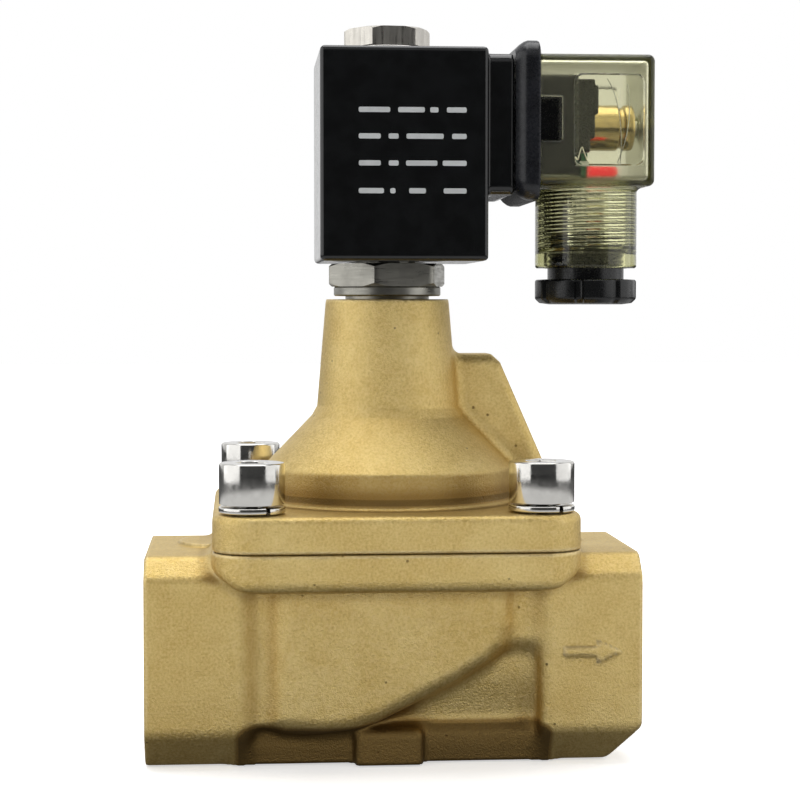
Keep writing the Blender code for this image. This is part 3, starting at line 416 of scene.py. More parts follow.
def body_outside(x, y, z):
    """Two flatted ports on a bellied core, with a plinth below and half of the square flange above."""
    side_y = np.abs(y)
    port = combine(port_section(y, z), slab(np.abs(x), SHOULDER, PORT_END + 5.0), 2.2)
    plinth = solid_box(x, y, z, (-30.0, -17.4, -2.0), (30.0, 17.4, 6.6), 1.6)
    core = solid_box(x, y, z, (-30.0, -16.4, 1.0), (30.0, 16.4, 37.0), 3.0)
    lobe = np.maximum(rod(y, z, (0.0, 20.6), 18.3), slab(x, 0.0, 30.0))
    inlet_web = solid_box(x, y, z, (-32.0, -20.3, 7.4), (-16.0, 20.3, 38.0), 1.6)
    outlet_web = solid_box(x, y, z, (18.0, -20.3, 22.6), (32.0, 20.3, 38.0), 2.4)
    belly = combine(flat_polygon(x, z, BELLY), side_y - 23.3, 3.4)
    boss = solid_box(x, side_y, z, (-7.6, 12.0, -2.0), (5.6, 20.4, 7.0), 1.6)
    square = flat_box(x, y, FLANGE_HALF, FLANGE_HALF, FLANGE_CORNER)
    flange = combine(square, slab(z, 34.9, PARTING + 5.0), 0.9)
    flange = smooth_max(flange, half_space(np.abs(x), z, (FLANGE_HALF, 38.3), (0.5, -0.87)), 1.6)
    flange = smooth_max(flange, half_space(side_y, z, (FLANGE_HALF, 36.2), (0.7, -0.7)), 1.0)
    d = smooth_min(core, lobe, 3.0)
    d = smooth_min(d, plinth, 2.6)
    d = smooth_min(d, smooth_min(inlet_web, outlet_web, 1.0), 3.0)
    d = smooth_min(d, belly, 3.0)
    d = smooth_min(d, boss, 1.6)
    d = smooth_min(d, port, 3.2)
    d = smooth_min(d, flange, 2.2)
    pads = np.minimum(rod(x, y, (-33.0, 3.0), 8.5), rod(x, y, (33.0, 3.0), 6.5))
    d = smooth_min(d, np.maximum(pads, slab(z, 38.0, PORT_TOP + 0.7)), 0.8)
    arrow = combine(flat_polygon(x, z, ARROW), slab(y, -PORT_HALF_Y - 0.45, -18.0), 0.2)
    d = smooth_min(d, arrow, 0.35)
    under_outlet = half_space(x, z, (PORT_END, 7.2), (6.2, -5.2))
    d = smooth_max(d, under_outlet, 0.8)
    d = combine(d, np.abs(x) - PORT_END, 0.35)
    d = np.maximum(d, z - (PARTING - HALF_GAP))
    return np.maximum(d, -z)


def body_passages(x, y, z):
    """Inlet to a ring chamber with a sloping floor, seat down to the outlet, threads and small holes."""
    radius = np.sqrt(x ** 2 + y ** 2)
    passage = rod(y, z, (0.0, PORT_AXIS), PASSAGE_R)
    floor = 22.5 + 12.8 * x / np.maximum(radius, 0.1)
    chamber = combine(np.maximum(radius - CHAMBER_OUTER, CHAMBER_INNER - radius), floor - z, 1.0)
    chamber = smooth_min(chamber, np.maximum(passage, slab(x, -31.0, -16.4)), 1.2)
    outlet = np.maximum(passage, slab(x, 0.0, 31.0))
    outlet = smooth_min(outlet, np.maximum(radius - SEAT_R, 8.5 - z), 1.5)
    recess = np.maximum(radius - 25.4, 40.3 - z)
    seat = np.maximum(radius - 16.1, 37.6 - z)
    inside = np.minimum(np.minimum(chamber, outlet), np.minimum(recess, seat))
    inside = np.minimum(inside, threaded_bore(x, y, z))
    for place in SCREWS.values():
        inside = np.minimum(inside, rod(x, y, place, SCREW_HOLE_R))
    pilot_duct = np.maximum(rod(x, y, (27.5, 5.0), 1.6), 30.0 - z)
    return np.minimum(inside, pilot_duct)


def body_field(x, y, z):
    """The cast body, with its inner edges slightly rounded."""
    return smooth_max(body_outside(x, y, z), -body_passages(x, y, z), 0.35)


# === bonnet ===
PLATE_TOP = 49.2
TOWER = [(0.0, 44.0), (25.0, 44.0), (25.0, 56.0), (15.2, 66.2), (14.2, 68.0), (12.4, 89.4), (0.0, 89.4)]
RIB = [(4.0, 47.0), (34.6, 47.0), (31.2, 57.3), (22.8, 76.4), (20.9, 78.1), (4.0, 78.1)]
DOME = [(-1.0, 40.0), (20.6, 40.0), (20.6, 50.0), (17.6, 53.0), (11.0, 53.0), (11.0, 59.5),
        (9.5, 61.0), (-1.0, 61.0)]
PILOT = [(-1.0, 75.0), (6.2, 75.0), (6.2, 77.0), (8.6, 77.0), (8.6, 95.0), (-1.0, 95.0)]


def bonnet_field(x, y, z):
    """Square plate, cone and tapering neck with a rib behind, hollow for the spring and the tube."""
    radius = np.sqrt(x ** 2 + y ** 2)
    square = flat_box(x, y, FLANGE_HALF, FLANGE_HALF, FLANGE_CORNER)
    plate = combine(square, slab(z, PARTING - 4.0, PLATE_TOP), 1.3)
    tower = flat_polygon(radius, z, TOWER)
    rib = combine(flat_polygon(x, z, RIB), slab(y, -1.0, 11.0), 2.2)
    d = smooth_min(plate, tower + 0.25, 1.4)
    d = smooth_min(d, rib, 2.6)
    d = smooth_max(d, z - NECK_TOP, 1.0)
    d = np.maximum(d, (PARTING + HALF_GAP) - z)
    inside = np.minimum(flat_polygon(radius, z, DOME), flat_polygon(radius, z, PILOT))
    pilot_duct = np.maximum(rod(x, y, (-4.6, 0.0), 1.2), slab(z, 58.0, 77.0))
    pilot_pocket = np.maximum(radius - 3.3, slab(z, 71.0, 76.0))
    inside = np.minimum(inside, np.minimum(pilot_duct, pilot_pocket))
    for place in SCREWS.values():
        inside = np.minimum(inside, rod(x, y, place, SCREW_HOLE_R))
    return smooth_max(d, -inside, 0.35)


def body_stain_and_painted_shade(x, y, z):
    """The recessed sole between the ports is darkened most, partly a brown stain and partly painted shade,
    then the ports' lower bevels with painted shade.
    """
    sole = np.clip((8.6 - z) / 2.0, 0.0, 1.0) * np.clip((30.5 - np.abs(x)) / 1.5, 0.0, 1.0)
    return 1.5 * sole + 0.35 * np.clip(7.0 - z, 0.0, 1.0)


def bonnet_painted_shade(x, y, z):
    """Painted shade on the upright band between the plate and the cone."""
    radius = np.sqrt(x ** 2 + y ** 2)
    band = np.clip(56.6 - z, 0.0, 1.0) * np.clip((z - 49.4) / 0.8, 0.0, 1.0)
    return 0.5 * band * (radius < 27.0)


CAST_STEP = 0.5
# The last argument of each casting is its mask of stain and painted shade.
body = field_object("valve_body_casting", body_field, BODY_LOW, BODY_HIGH, CAST_STEP, CAST_BRASS,
                    body_stain_and_painted_shade)
bonnet = field_object("bonnet_casting", bonnet_field, BONNET_LOW, BONNET_HIGH, CAST_STEP, CAST_BRASS,
                      bonnet_painted_shade)
stands_for(body, "valve", "cast_brass", "valve_body")
stands_for(bonnet, "valve", "cast_brass", "bonnet")


# === turned and lofted pieces ===
def rounded_profile(points, radius, steps=4):
    """A closed outline with each corner turned into an arc; radius may be one per corner."""
    radii = radius if isinstance(radius, (list, tuple)) else [radius] * len(points)
    made = []
    for i, corner in enumerate(points):
        here = Vector(corner)
        back = (Vector(points[i - 1]) - here).normalized()
        ahead = (Vector(points[(i + 1) % len(points)]) - here).normalized()
        half = back.angle(ahead) / 2
        if radii[i] <= 0.0 or half > math.pi / 2 - 0.02:
            made.append(tuple(here))
            continue
        reach = radii[i] / math.tan(half)
        centre = here + (back + ahead).normalized() * (radii[i] / math.sin(half))
        start, end = here + back * reach - centre, here + ahead * reach - centre
        sweep = start.angle_signed(end)
        for step in range(steps + 1):
            turn = -sweep * step / steps
            made.append(tuple(centre + Matrix.Rotation(turn, 2) @ start))
    return made


def turned(name, profile, material, sides, reshape=None, centre=(0.0, 0.0), axis="z", start=0.0):
    """Turns a closed (radius, height) profile; either value may be an array, one per angle."""
    angles = turn_angles(sides, start)
    rings = []
    for r, h in profile:
        radius = np.full(sides, r) if reshape is None else reshape(angles, r, h)
        height = np.full(sides, h)
        rings.append(np.stack([radius * np.cos(angles), radius * np.sin(angles), height], 1))
    points = np.concatenate(rings)
    side = np.arange(sides)
    faces = []
    for i in range(len(rings)):
        j = (i + 1) % len(rings)
        a, b = i * sides + side, i * sides + (side + 1) % sides
        c, d = j * sides + (side + 1) % sides, j * sides + side
        faces.append(np.stack([a, b, c, d], 1))
    if axis == "x":
        points = points[:, (2, 0, 1)] + np.array([0.0, centre[0], centre[1]])
    else:
        points = points + np.array([centre[0], centre[1], 0.0])
    made = mesh_object(name, points, np.concatenate(faces), material)
    tidy(made)
    return made


def turn_angles(sides, start=0.0):
    """Equal steps of a full turn, from a start in degrees, as radians."""
    return math.radians(start) + np.arange(sides) * 2 * np.pi / sides


def wrench_hexagon(sides, corner, turn, low, high, both=True):
    """Rings of a hexagon whose faces are chamfered at 30 degrees, with slightly worn corners."""
    angles = turn_angles(sides, turn)
    flat = np.minimum(hexagon(angles, corner, turn), corner * 0.988)
    face = corner * 0.90
    drop = np.clip(flat - face, 0.0, None) * math.tan(math.radians(30.0))
    inner = np.minimum(flat, face)
    lower = [(inner, low), (flat, low + drop)] if both else [(flat, low)]
    return lower + [(flat, high - drop), (inner, high)]


TIP = 0.02
WELD = 0.004 * MM
SHARP_EDGE = math.radians(32.0)


def tidy(made):
    """Welds points that meet, turns the faces outwards and marks sharp edges."""
    bm = bmesh.new()
    bm.from_mesh(made.data)
    bmesh.ops.remove_doubles(bm, verts=bm.verts, dist=WELD)
    bmesh.ops.dissolve_degenerate(bm, edges=bm.edges, dist=WELD)
    bmesh.ops.recalc_face_normals(bm, faces=bm.faces)
    bm.to_mesh(made.data)
    bm.free()
    made.data.shade_smooth()
    made.data.set_sharp_from_angle(angle=SHARP_EDGE)


def hexagon(angles, corner, turn):
    """Radius of a hexagon at each angle, from its corner radius and a corner's angle in degrees."""
    local = (angles - math.radians(turn)) % (np.pi / 3) - np.pi / 6
    return corner * math.cos(math.pi / 6) / np.cos(local)


def loft_rings(name, rings, material):
    """A closed solid through rings of points, each ring an array (n, 3), with flat ends."""
    sides = len(rings[0])
    points = np.concatenate([np.array(r, float) for r in rings])
    bm = bmesh.new()
    verts = [bm.verts.new(p * MM) for p in points]
    for i in range(len(rings) - 1):
        for k in range(sides):
            m = (k + 1) % sides
            a, b = i * sides + k, i * sides + m
            bm.faces.new((verts[a], verts[b], verts[b + sides], verts[a + sides]))
    bm.faces.new(verts[:sides])
    bm.faces.new(verts[-sides:])
    mesh = bpy.data.meshes.new(name)
    bm.to_mesh(mesh)
    bm.free()
    made = in_scene(name, mesh, material)
    tidy(made)
    return made


# === more materials ===
def plain(name, colour, roughness, metallic=0.0, tint=0.10, grain_mm=0.5, depth_mm=0.01, spread=0.06,
          stretch=(1.0, 1.0, 1.0), **more):
    """A moulded or machined finish: slight colour drift, uneven gloss and a fine surface."""
    n = Nodes(name)
    cloud, grain = n.noise(4.0, 3.0), n.noise(grain_mm, 3.0, 0.6, stretch)
    darker = tuple(c * (1.0 - tint) for c in colour)
    lighter = tuple(min(c * (1.0 + tint), 1.0) for c in colour)
    base = n.mix(n.spread(cloud, 0.35, 0.65), darker, lighter)
    rough = n.spread(grain, 0.3, 0.7, max(roughness - spread, 0.02), roughness + spread)
    n.set(Base_Color=base, Metallic=metallic, Roughness=rough, **more)
    if depth_mm:
        n.bump(grain, depth_mm)
    return n.material


def turned_metal(name, colour, roughness, line_mm, axis=2):
    """Lathe-turned metal: fine lines round the axis, over a little cloudiness."""
    stretch = [0.02, 0.02, 0.02]
    stretch[axis] = 1.0
    return plain(name, colour, roughness, 1.0, 0.05, line_mm, 0.006, 0.05, tuple(stretch))


def clear_plastic():
    """Smoked clear plastic: polished on the raised panels, etched round them, darker edge-on."""
    n = Nodes("smoked_clear")
    split = n.put("ShaderNodeSeparateXYZ")
    n.link(n.place, split.inputs["Vector"])
    across = n.maths("ABSOLUTE", n.maths("SUBTRACT", split.outputs["X"], PANEL_X * MM))
    upward = n.maths("ABSOLUTE", n.maths("SUBTRACT", split.outputs["Z"], PANEL_Z * MM))
    beyond = n.maths("MAXIMUM", n.maths("SUBTRACT", across, PANEL_HALF[0] * MM),
                     n.maths("SUBTRACT", upward, PANEL_HALF[1] * MM))
    etched = n.spread(beyond, -0.2 * MM, 0.2 * MM)
    on_shell = n.spread(split.outputs["Z"], SHELL_LOW * MM, (SHELL_LOW + 0.4) * MM)
    etched = n.maths("MULTIPLY", etched, on_shell)
    grain = n.noise(0.35, 2.0)
    rough = n.maths("ADD", n.maths("MULTIPLY", etched, 0.24), n.spread(grain, 0.3, 0.7, 0.05, 0.10))
    n.set(Base_Color=(0.97, 0.96, 0.90, 1.0), Roughness=rough, Transmission_Weight=1.0, IOR=1.49)
    n.bump(grain, 0.004)
    depth = n.put("ShaderNodeVolumeAbsorption")
    depth.inputs["Color"].default_value = (0.60, 0.60, 0.28, 1.0)
    depth.inputs["Density"].default_value = 300.0
    output = n.tree.nodes["Material Output"]
    n.link(depth.outputs["Volume"], output.inputs["Volume"])
    return n.material


COVER_LOW, COVER_HIGH = box_mm("connector_cover")
PANEL_X, PANEL_Z, PANEL_HALF = 42.05, 123.65, (6.75, 8.75)
SHELL_LOW = 110.9

PLATED = plain("bright_plating", (0.78, 0.765, 0.73), 0.13, 1.0, 0.04, 1.4, 0.004, 0.05)
BRUSHED = plain("brushed_plating", (0.70, 0.67, 0.61), 0.33, 1.0, 0.08, 0.5, 0.02, 0.10, (1.0, 1.0, 0.04))
STAINLESS = plain("stainless", (0.38, 0.37, 0.33), 0.34, 1.0, 0.10, 0.4, 0.012, 0.08, (0.08, 0.08, 1.0))
WIRE = plain("spring_steel", (0.52, 0.52, 0.53), 0.28, 1.0, 0.06, 0.3, 0.004)
COPPER = turned_metal("copper_wire", (0.72, 0.33, 0.16), 0.3, 0.35)
RUBBER = plain("black_rubber", (0.022, 0.022, 0.023), 0.62, 0.0, 0.2, 0.4, 0.02)
GREY_RUBBER = plain("grey_rubber", (0.016, 0.017, 0.021), 0.28, 0.0, 0.25, 0.5, 0.008, 0.08)
COIL_BLACK = plain("coil_black", (0.0065, 0.0072, 0.0078), 0.16, 0.0, 0.3, 1.3, 0.010, 0.05, Coat_Weight=0.35)
NYLON = plain("black_nylon", (0.007, 0.0075, 0.008), 0.27, 0.0, 0.25, 0.35, 0.010, 0.08)
BRASS_TURNED = turned_metal("turned_brass", (0.60, 0.47, 0.24), 0.2, 0.3, 0)
BOARD = plain("board_green", (0.03, 0.16, 0.07), 0.42, 0.0, 0.3, 0.8, 0.01)
LAMP = plain("lamp_red", (0.86, 0.02, 0.03), 0.12, 0.0, 0.12, 0.9, 0.002, 0.04,
             Emission_Color=(1.0, 0.05, 0.06, 1.0), Emission_Strength=0.55)
PRINT = plain("light_print", (0.86, 0.89, 0.89), 0.45, 0.0, 0.06, 0.3, 0.004)
CLEAR = clear_plastic()


# === fasteners ===
def cap_screw(place_name, centre):
    """Socket-head cap screw, with a rounded head, a hexagon socket and a threaded shank."""
    low, high = box_mm(f"cap_screw_{place_name}")
    head_r, under, top = (high[0] - low[0]) / 2, 50.76, high[2]
    shank, socket = 2.95, 3.15
    head = [(head_r, under), (head_r, top), (socket, top), (socket, top - 3.6)]
    head = rounded_profile(head, [0.15, 0.4, 0.2, 0.0])
    tail = [(TIP, top - 4.6), (TIP, low[2]), (shank - 0.6, low[2]), (shank - 0.1, low[2] + 0.5)]
    height, pitch = low[2] + 0.5, 1.0
    thread = []
    while height < under - 4.0:
        thread += [(shank, height + 0.25 * pitch), (shank - 0.5, height + 0.6 * pitch)]
        height += pitch
    profile = head + tail + thread + [(shank, height), (shank, under)]
    rim = socket + 0.22

    def reshape(angles, r, h):
        if h > top - 3.7 and r <= rim:
            share = min(max((rim - r) / 0.2, 0.0), 1.0)
            return r * (1.0 - share) + hexagon(angles, r, 20.0 + 7.0 * centre[0]) * share
        return np.full(len(angles), r)

    made = turned(f"cap_screw_bright_{place_name}", profile, PLATED, 72, reshape, centre)
    stands_for(made, "valve", "bright_plating", f"cap_screw_{place_name}")


def lock_washer(place_name, centre):
    """Split washer whose cut ends stand a little apart in height."""
    low, high = box_mm(f"spring_washer_{place_name}")
    outer, inner, start = (high[0] - low[0]) / 2 - 0.05, 3.4, math.radians(-62.0)
    section = rounded_profile([(outer, low[2]), (outer, high[2]), (inner, high[2]), (inner, low[2])], 0.3, 3)
    steps, gap = 72, math.radians(8.0)
    rings = []
    for i in range(steps + 1):
        angle = start + gap / 2 + (2 * math.pi - gap) * i / steps
        lift = 0.10 * (i / steps - 0.5)
        rings.append([
            (centre[0] + r * math.cos(angle), centre[1] + r * math.sin(angle), h + lift) for r, h in section
        ])
    made = loft_rings(f"lock_washer_{place_name}", rings, PLATED)
    stands_for(made, "valve", "bright_plating", f"spring_washer_{place_name}")


for place_name, centre in SCREWS.items():
    cap_screw(place_name, centre)
    lock_washer(place_name, centre)


# === armature tube parts ===
def tube_base():
    """Chamfered hexagon over a round collar, on the spigot that enters the neck."""
    low, high = box_mm("tube_base_nut")
    corner, turn, bore, sides = 12.2, 14.0, 6.7, 144
    collar, hex_low = 10.6, 91.5
    profile = [(8.3, low[2]), (8.3, 89.6), (collar - 0.25, 89.65), (collar, 89.9), (collar, hex_low - 0.25)]
    profile += [(collar - 0.25, hex_low)]
    profile += wrench_hexagon(sides, corner, turn, hex_low, high[2])
    profile += [(bore + 0.5, high[2]), (bore, high[2] - 0.5), (bore, low[2])]
    made = turned("tube_base_hexagon", profile, STAINLESS, sides, start=turn)
    stands_for(made, "valve", "stainless", "tube_base_nut")


def coil_nut():
    """Bright nut chamfered on top, and the washer between it and the coil."""
    low, high = box_mm("coil_nut")
    corner, turn, bore, sides = 8.7, 6.5, 4.3, 144
    profile = wrench_hexagon(sides, corner, turn, low[2], high[2], False)
    profile += [(bore + 0.6, high[2]), (bore, high[2] - 0.6), (bore, low[2] + 0.5), (bore + 0.5, low[2])]
    made = turned("coil_nut_bright", profile, BRUSHED, sides, start=turn)
    stands_for(made, "valve", "bright_plating", "coil_nut")
    low, high = box_mm("nut_washer")
    ring = rounded_profile([(high[0], low[2]), (high[0], high[2]), (6.7, high[2]), (6.7, low[2])], 0.18, 3)
    stands_for(turned("nut_washer_bright", ring, PLATED, 96), "valve", "bright_plating", "nut_washer")


tube_base()
coil_nut()


# === coil ===
COIL_LOW, COIL_HIGH = box_mm("coil_housing")
COIL_RIGHT = 18.3
SCREW_Z = 123.1


def coil_field(x, y, z):
    """Moulded block and connector pad, hollow for the winding, with the tube's bore."""
    block = solid_box(x, y, z, COIL_LOW, (COIL_RIGHT, *COIL_HIGH[1:]), 0.9)
    pad = combine(flat_box(y, z - 122.6, 13.9, 13.6, 2.0), slab(x, 8.0, COIL_HIGH[0]), 0.5)
    d = smooth_min(block, pad, 0.9)
    cavity = solid_box(x, y, z, (-11.6, -13.6, 98.8), (11.6, 13.6, 134.6), 0.5)
    bore = rod(x, y, (0.0, 0.0), 7.0)
    screw = np.maximum(rod(y, z, (0.0, SCREW_Z), 1.8), 18.9 - x)
    return smooth_max(d, -np.minimum(np.minimum(cavity, bore), screw), 0.5)


def light_bars():
    """Plain pale bars in four rows where a rating print would be, with no letters."""
    rows = [(124.95, [(-6.6, -0.6), (0.9, 6.0), (7.0, 8.6), (10.2, 14.0)]),
            (119.95, [(-6.6, -2.4), (-0.9, 1.0), (2.5, 9.6), (11.2, 14.0)]),
            (114.85, [(-6.6, -2.4), (-0.9, 1.0), (2.4, 8.4), (9.4, 14.0)]),
            (109.60, [(-6.6, -1.8), (-0.6, 0.4), (3.0, 6.2), (9.6, 14.0)])]
    half, front = 0.5, COIL_LOW[1]
    bm = bmesh.new()
    for level, bars in rows:
        for left, right in bars:
            under, over = level - half, level + half
            outline = rounded_profile([(left, under), (right, under), (right, over), (left, over)], 0.3, 3)
            front_ring = [bm.verts.new(Vector((px, front - 0.03, pz)) * MM) for px, pz in outline]
            back_ring = [bm.verts.new(Vector((px, front + 0.02, pz)) * MM) for px, pz in outline]
            bm.faces.new(front_ring)
            bm.faces.new(back_ring)
            for i in range(len(outline)):
                j = (i + 1) % len(outline)
                bm.faces.new((front_ring[i], front_ring[j], back_ring[j], back_ring[i]))
    bmesh.ops.recalc_face_normals(bm, faces=bm.faces)
    mesh = bpy.data.meshes.new("light_bars")
    bm.to_mesh(mesh)
    bm.free()
    stands_for(in_scene("light_bars", mesh, PRINT), "coil", "coil_black")


coil = field_object("coil_moulding", coil_field, COIL_LOW, COIL_HIGH, CAST_STEP, COIL_BLACK)
stands_for(coil, "coil", "coil_black", "coil_housing")
light_bars()


# === connector ===
BARREL_X = 39.8
BARREL_PITCH = 1.5
COVER_RIGHT = 51.1


def cover_field(x, y, z):
    """Clear shell with a raised panel each side, clip windows and an internally threaded barrel."""
    side = np.abs(y)
    shell = solid_box(x, y, z, (20.0, COVER_LOW[1], SHELL_LOW), (COVER_RIGHT, *COVER_HIGH[1:]), 1.3)
    barrel = combine(rod(x, y, (BARREL_X, 0.0), 10.1), slab(z, COVER_LOW[2], 116.0), 0.5)
    d = smooth_min(shell, barrel, 0.8)
    panel = flat_box(x - PANEL_X, z - PANEL_Z, *PANEL_HALF, 1.7)
    panel = combine(panel, side - COVER_HIGH[1] - 0.3, 0.15)
    d = np.minimum(d, np.maximum(panel, 12.8 - side))
    seam = np.maximum(slab(z, 124.45, 124.75), slab(side, 12.8, COVER_HIGH[1] + 0.07))
    d = smooth_min(d, np.maximum(seam, slab(x, 44.0, COVER_RIGHT - 1.0)), 0.2)
    hollow = solid_box(x, y, z, (20.0, -12.3, 112.1), (COVER_RIGHT - 1.2, 12.3, 135.1), 0.8)
    turn = np.arctan2(y, x - BARREL_X) / (2 * np.pi)
    phase = (z / BARREL_PITCH - turn) % 1.0
    groove = 0.85 * (1.0 - 2.0 * np.abs(phase - 0.5))
    groove = groove * np.clip((z - 98.3) / 0.8, 0.0, 1.0)
    bore = np.maximum(0.75 * (rod(x, y, (BARREL_X, 0.0), 7.75) - groove), z - 115.0)
    clip = solid_box(x, side, z, (28.95, 10.0, 119.55), (33.0, 16.0, 128.1), 0.3)
    screw = np.maximum(rod(y, z, (0.0, SCREW_Z), 2.0), 45.0 - x)
    inside = np.minimum(np.minimum(hollow, bore), np.minimum(clip, screw))
    d = smooth_max(d, -inside, 0.3)
    return np.maximum(d, COVER_LOW[0] - x)


def connector_gasket():
    """Flared rubber rim between the coil's pad and the plug, with its rounded corners."""
    low, high = box_mm("connector_gasket")
    middle_z, half_z, half_y = (low[2] + high[2]) / 2, (high[2] - low[2]) / 2, high[1]
    stations = [(low[0], 1.7), (low[0] + 0.9, 0.8), (low[0] + 1.7, 0.25), (low[0] + 2.4, 0.0),
                (high[0] - 0.5, 0.0), (high[0] - 0.15, 0.15), (high[0], 0.5)]
    inner = [(high[0], 11.4), (low[0], 11.4)]

    def outline(half_a, half_b, radius, x):
        square = [(half_a, half_b), (-half_a, half_b), (-half_a, -half_b), (half_a, -half_b)]
        return [(x, a, middle_z + b) for a, b in rounded_profile(square, radius, 10)]

    rings = [outline(half_y - s, half_z - s, 3.8 - 0.5 * s, x) for x, s in stations]
    rings += [outline(reach, reach, 1.5, x) for x, reach in inner]
    sides = len(rings[0])
    points = np.array([p for ring in rings for p in ring])
    faces = []
    for i in range(len(rings)):
        j = (i + 1) % len(rings)
        for k in range(sides):
            m = (k + 1) % sides
            faces.append((i * sides + k, i * sides + m, j * sides + m, j * sides + k))
    made = mesh_object("connector_gasket_rim", points, np.array(faces), GREY_RUBBER)
    tidy(made)
    stands_for(made, "plug", "grey_rubber", "connector_gasket")


CARRIER_FACE = 36.4
NOSE_END = 40.6


def terminal_field(x, y, z):
    """Black terminal carrier: stepped nose round the screw sleeve, slots for the blades."""
    low, high = box_mm("terminal_block")
    d = solid_box(x, y, z, low, (CARRIER_FACE, *high[1:]), 0.5)
    nose = ((39.9, 130.2, 131.8), (NOSE_END, 125.0, 130.6), (39.9, 120.3, 125.4), (39.0, 117.6, 120.8))
    for right, under, over in nose:
        d = np.minimum(d, solid_box(x, y, z, (34.0, -9.4, under), (right, 9.4, over), 0.15))
    side = np.abs(y)
    slots = solid_box(x, side, z, (20.0, 6.1, 119.2), (35.0, 8.9, 127.0), 0.1)
    slots = np.minimum(slots, solid_box(x, y, z, (20.0, -3.9, 114.2), (35.0, 3.9, 116.0), 0.1))
    counterbore = np.maximum(rod(y, z, (0.0, SCREW_Z), 4.8), CARRIER_FACE - x)
    hole = np.minimum(rod(y, z, (0.0, SCREW_Z), 2.1), counterbore)
    return smooth_max(d, -np.minimum(slots, hole), 0.15)


def screw_sleeve():
    """Polished brass sleeve round the connector's screw, with a groove near its end."""
    low, high = box_mm("screw_sleeve")
    r, bore, end = (high[2] - low[2]) / 2, 2.0, high[0]
    outline = [(bore, low[0]), (r, low[0]), (r, end - 3.2), (r - 0.5, end - 2.8), (r - 0.5, end - 2.2),
               (r, end - 1.8), (r, end), (bore, end)]
    made = turned("screw_sleeve_polished", rounded_profile(outline, [0, .5, .2, .2, .2, .2, .6, 0]),
                  BRASS_TURNED, 72, None, (0.0, SCREW_Z), "x")
    stands_for(made, "plug", "turned_brass", "screw_sleeve")


def gland_nut():
    """Black compression nut: eight broad grips with shallow grooves between, a threaded neck above."""
    low, high = box_mm("gland_nut")
    outer, neck, bore, shoulder = (high[0] - low[0]) / 2, 7.6, 4.6, 92.9
    corners = [(bore, low[2] + 0.3), (7.2, low[2]), (outer - 0.9, low[2] + 0.25), (outer, low[2] + 1.1),
               (outer, shoulder), (neck, shoulder + 0.1)]
    profile = rounded_profile(corners, [0.2, 0.3, 0.5, 0.8, 0.45, 0.0])
    height, pitch = COVER_LOW[2] + 0.2, 1.1
    while height < high[2] - 0.9:
        profile += [(neck, height), (neck - pitch / 2, height + pitch / 2)]
        height += pitch
    profile += [(neck, high[2] - 0.2), (neck - 0.3, high[2]), (bore, high[2])]
    first_grip = math.radians(-84.5)

    def reshape(angles, r, h):
        if r < neck + 0.2:
            return np.full(len(angles), r)
        local = (angles - first_grip) % (np.pi / 4) - np.pi / 8
        dip = np.clip((math.radians(6.0) - np.abs(local)) / math.radians(3.0), 0.0, 1.0)
        dip = dip * dip * (3.0 - 2.0 * dip) * 0.75 * min(1.0, (r - neck) / 1.5)
        return r - dip - 0.09 * (1.0 - np.cos(8 * (angles - first_grip)))

    made = turned("gland_nut_black", profile, NYLON, 192, reshape, (BARREL_X, 0.0))
    stands_for(made, "gland", "black_nylon", "gland_nut")


def indicator():
    """Red lamp with a collar and a domed end."""
    low, high = box_mm("indicator_lamp")
    axis_y, axis_z = (low[1] + high[1]) / 2, (low[2] + high[2]) / 2
    r = (high[1] - low[1]) / 2
    dome = r - 0.25
    outline = [(TIP, low[0]), (r, low[0]), (r, low[0] + 0.9), (dome, low[0] + 1.0), (dome, high[0] - r)]
    outline += [(dome * math.cos(a), high[0] - r + r * math.sin(a)) for a in np.linspace(0.2, 1.5, 8)]
    outline += [(TIP, high[0])]
    made = turned("indicator_lamp_lens", outline, LAMP, 40, None, (axis_y, axis_z), "x")
    stands_for(made, "plug", "lamp_red", "indicator_lamp")


def lead(name, points, radius, material):
    """A round wire along a smooth curve near the points."""
    curve = bpy.data.curves.new(name, "CURVE")
    curve.dimensions = "3D"
    curve.bevel_depth = radius * MM
    curve.bevel_resolution = 3
    curve.use_fill_caps = True
    line = curve.splines.new("NURBS")
    line.points.add(len(points) - 1)
    for spot, p in zip(line.points, points):
        spot.co = (*(Vector(p) * MM), 1.0)
    line.use_endpoint_u = True
    line.order_u = 4
    stands_for(in_scene(name, curve, material), "plug", "spring_steel")


COVER_STEP = 0.3
CARRIER_LOW, CARRIER_HIGH = box_mm("terminal_block")
CARRIER_HIGH[0] = NOSE_END
cover = field_object("connector_cover_clear", cover_field, COVER_LOW, COVER_HIGH, COVER_STEP, CLEAR)
stands_for(cover, "plug", "smoked_clear", "connector_cover")
carrier = field_object("terminal_carrier", terminal_field, CARRIER_LOW, CARRIER_HIGH, 0.4, NYLON)
stands_for(carrier, "plug", "black_nylon", "terminal_block")
connector_gasket()
screw_sleeve()
gland_nut()
indicator()
LEADS = {
    "indicator_lead_upper": (0.09, WIRE, [(42.5, -8.0, 132.0), (44.6, -9.4, 128.5), (45.4, -9.6, 122.0),
                                          (45.0, -8.6, 115.5)]),
    "indicator_lead_side": (0.09, WIRE, [(46.6, -7.5, 131.0), (47.2, -9.0, 125.5), (46.6, -9.4, 119.5),
                                         (43.6, -8.0, 113.9)]),
    "lamp_leg_left": (0.16, PLATED, [(36.1, -11.2, 115.6), (36.5, -11.2, 117.2), (36.9, -11.2, 118.4)]),
    "lamp_leg_right": (0.16, PLATED, [(38.1, -11.2, 115.6), (37.5, -11.2, 117.2), (37.0, -11.2, 118.5)]),
    "lamp_resistor": (0.5, PRINT, [(35.9, -11.2, 115.3), (36.9, -11.2, 115.2), (38.3, -11.2, 115.3)]),
}
for lead_name, (radius, look, points) in LEADS.items():
    lead(lead_name, points, radius, look)


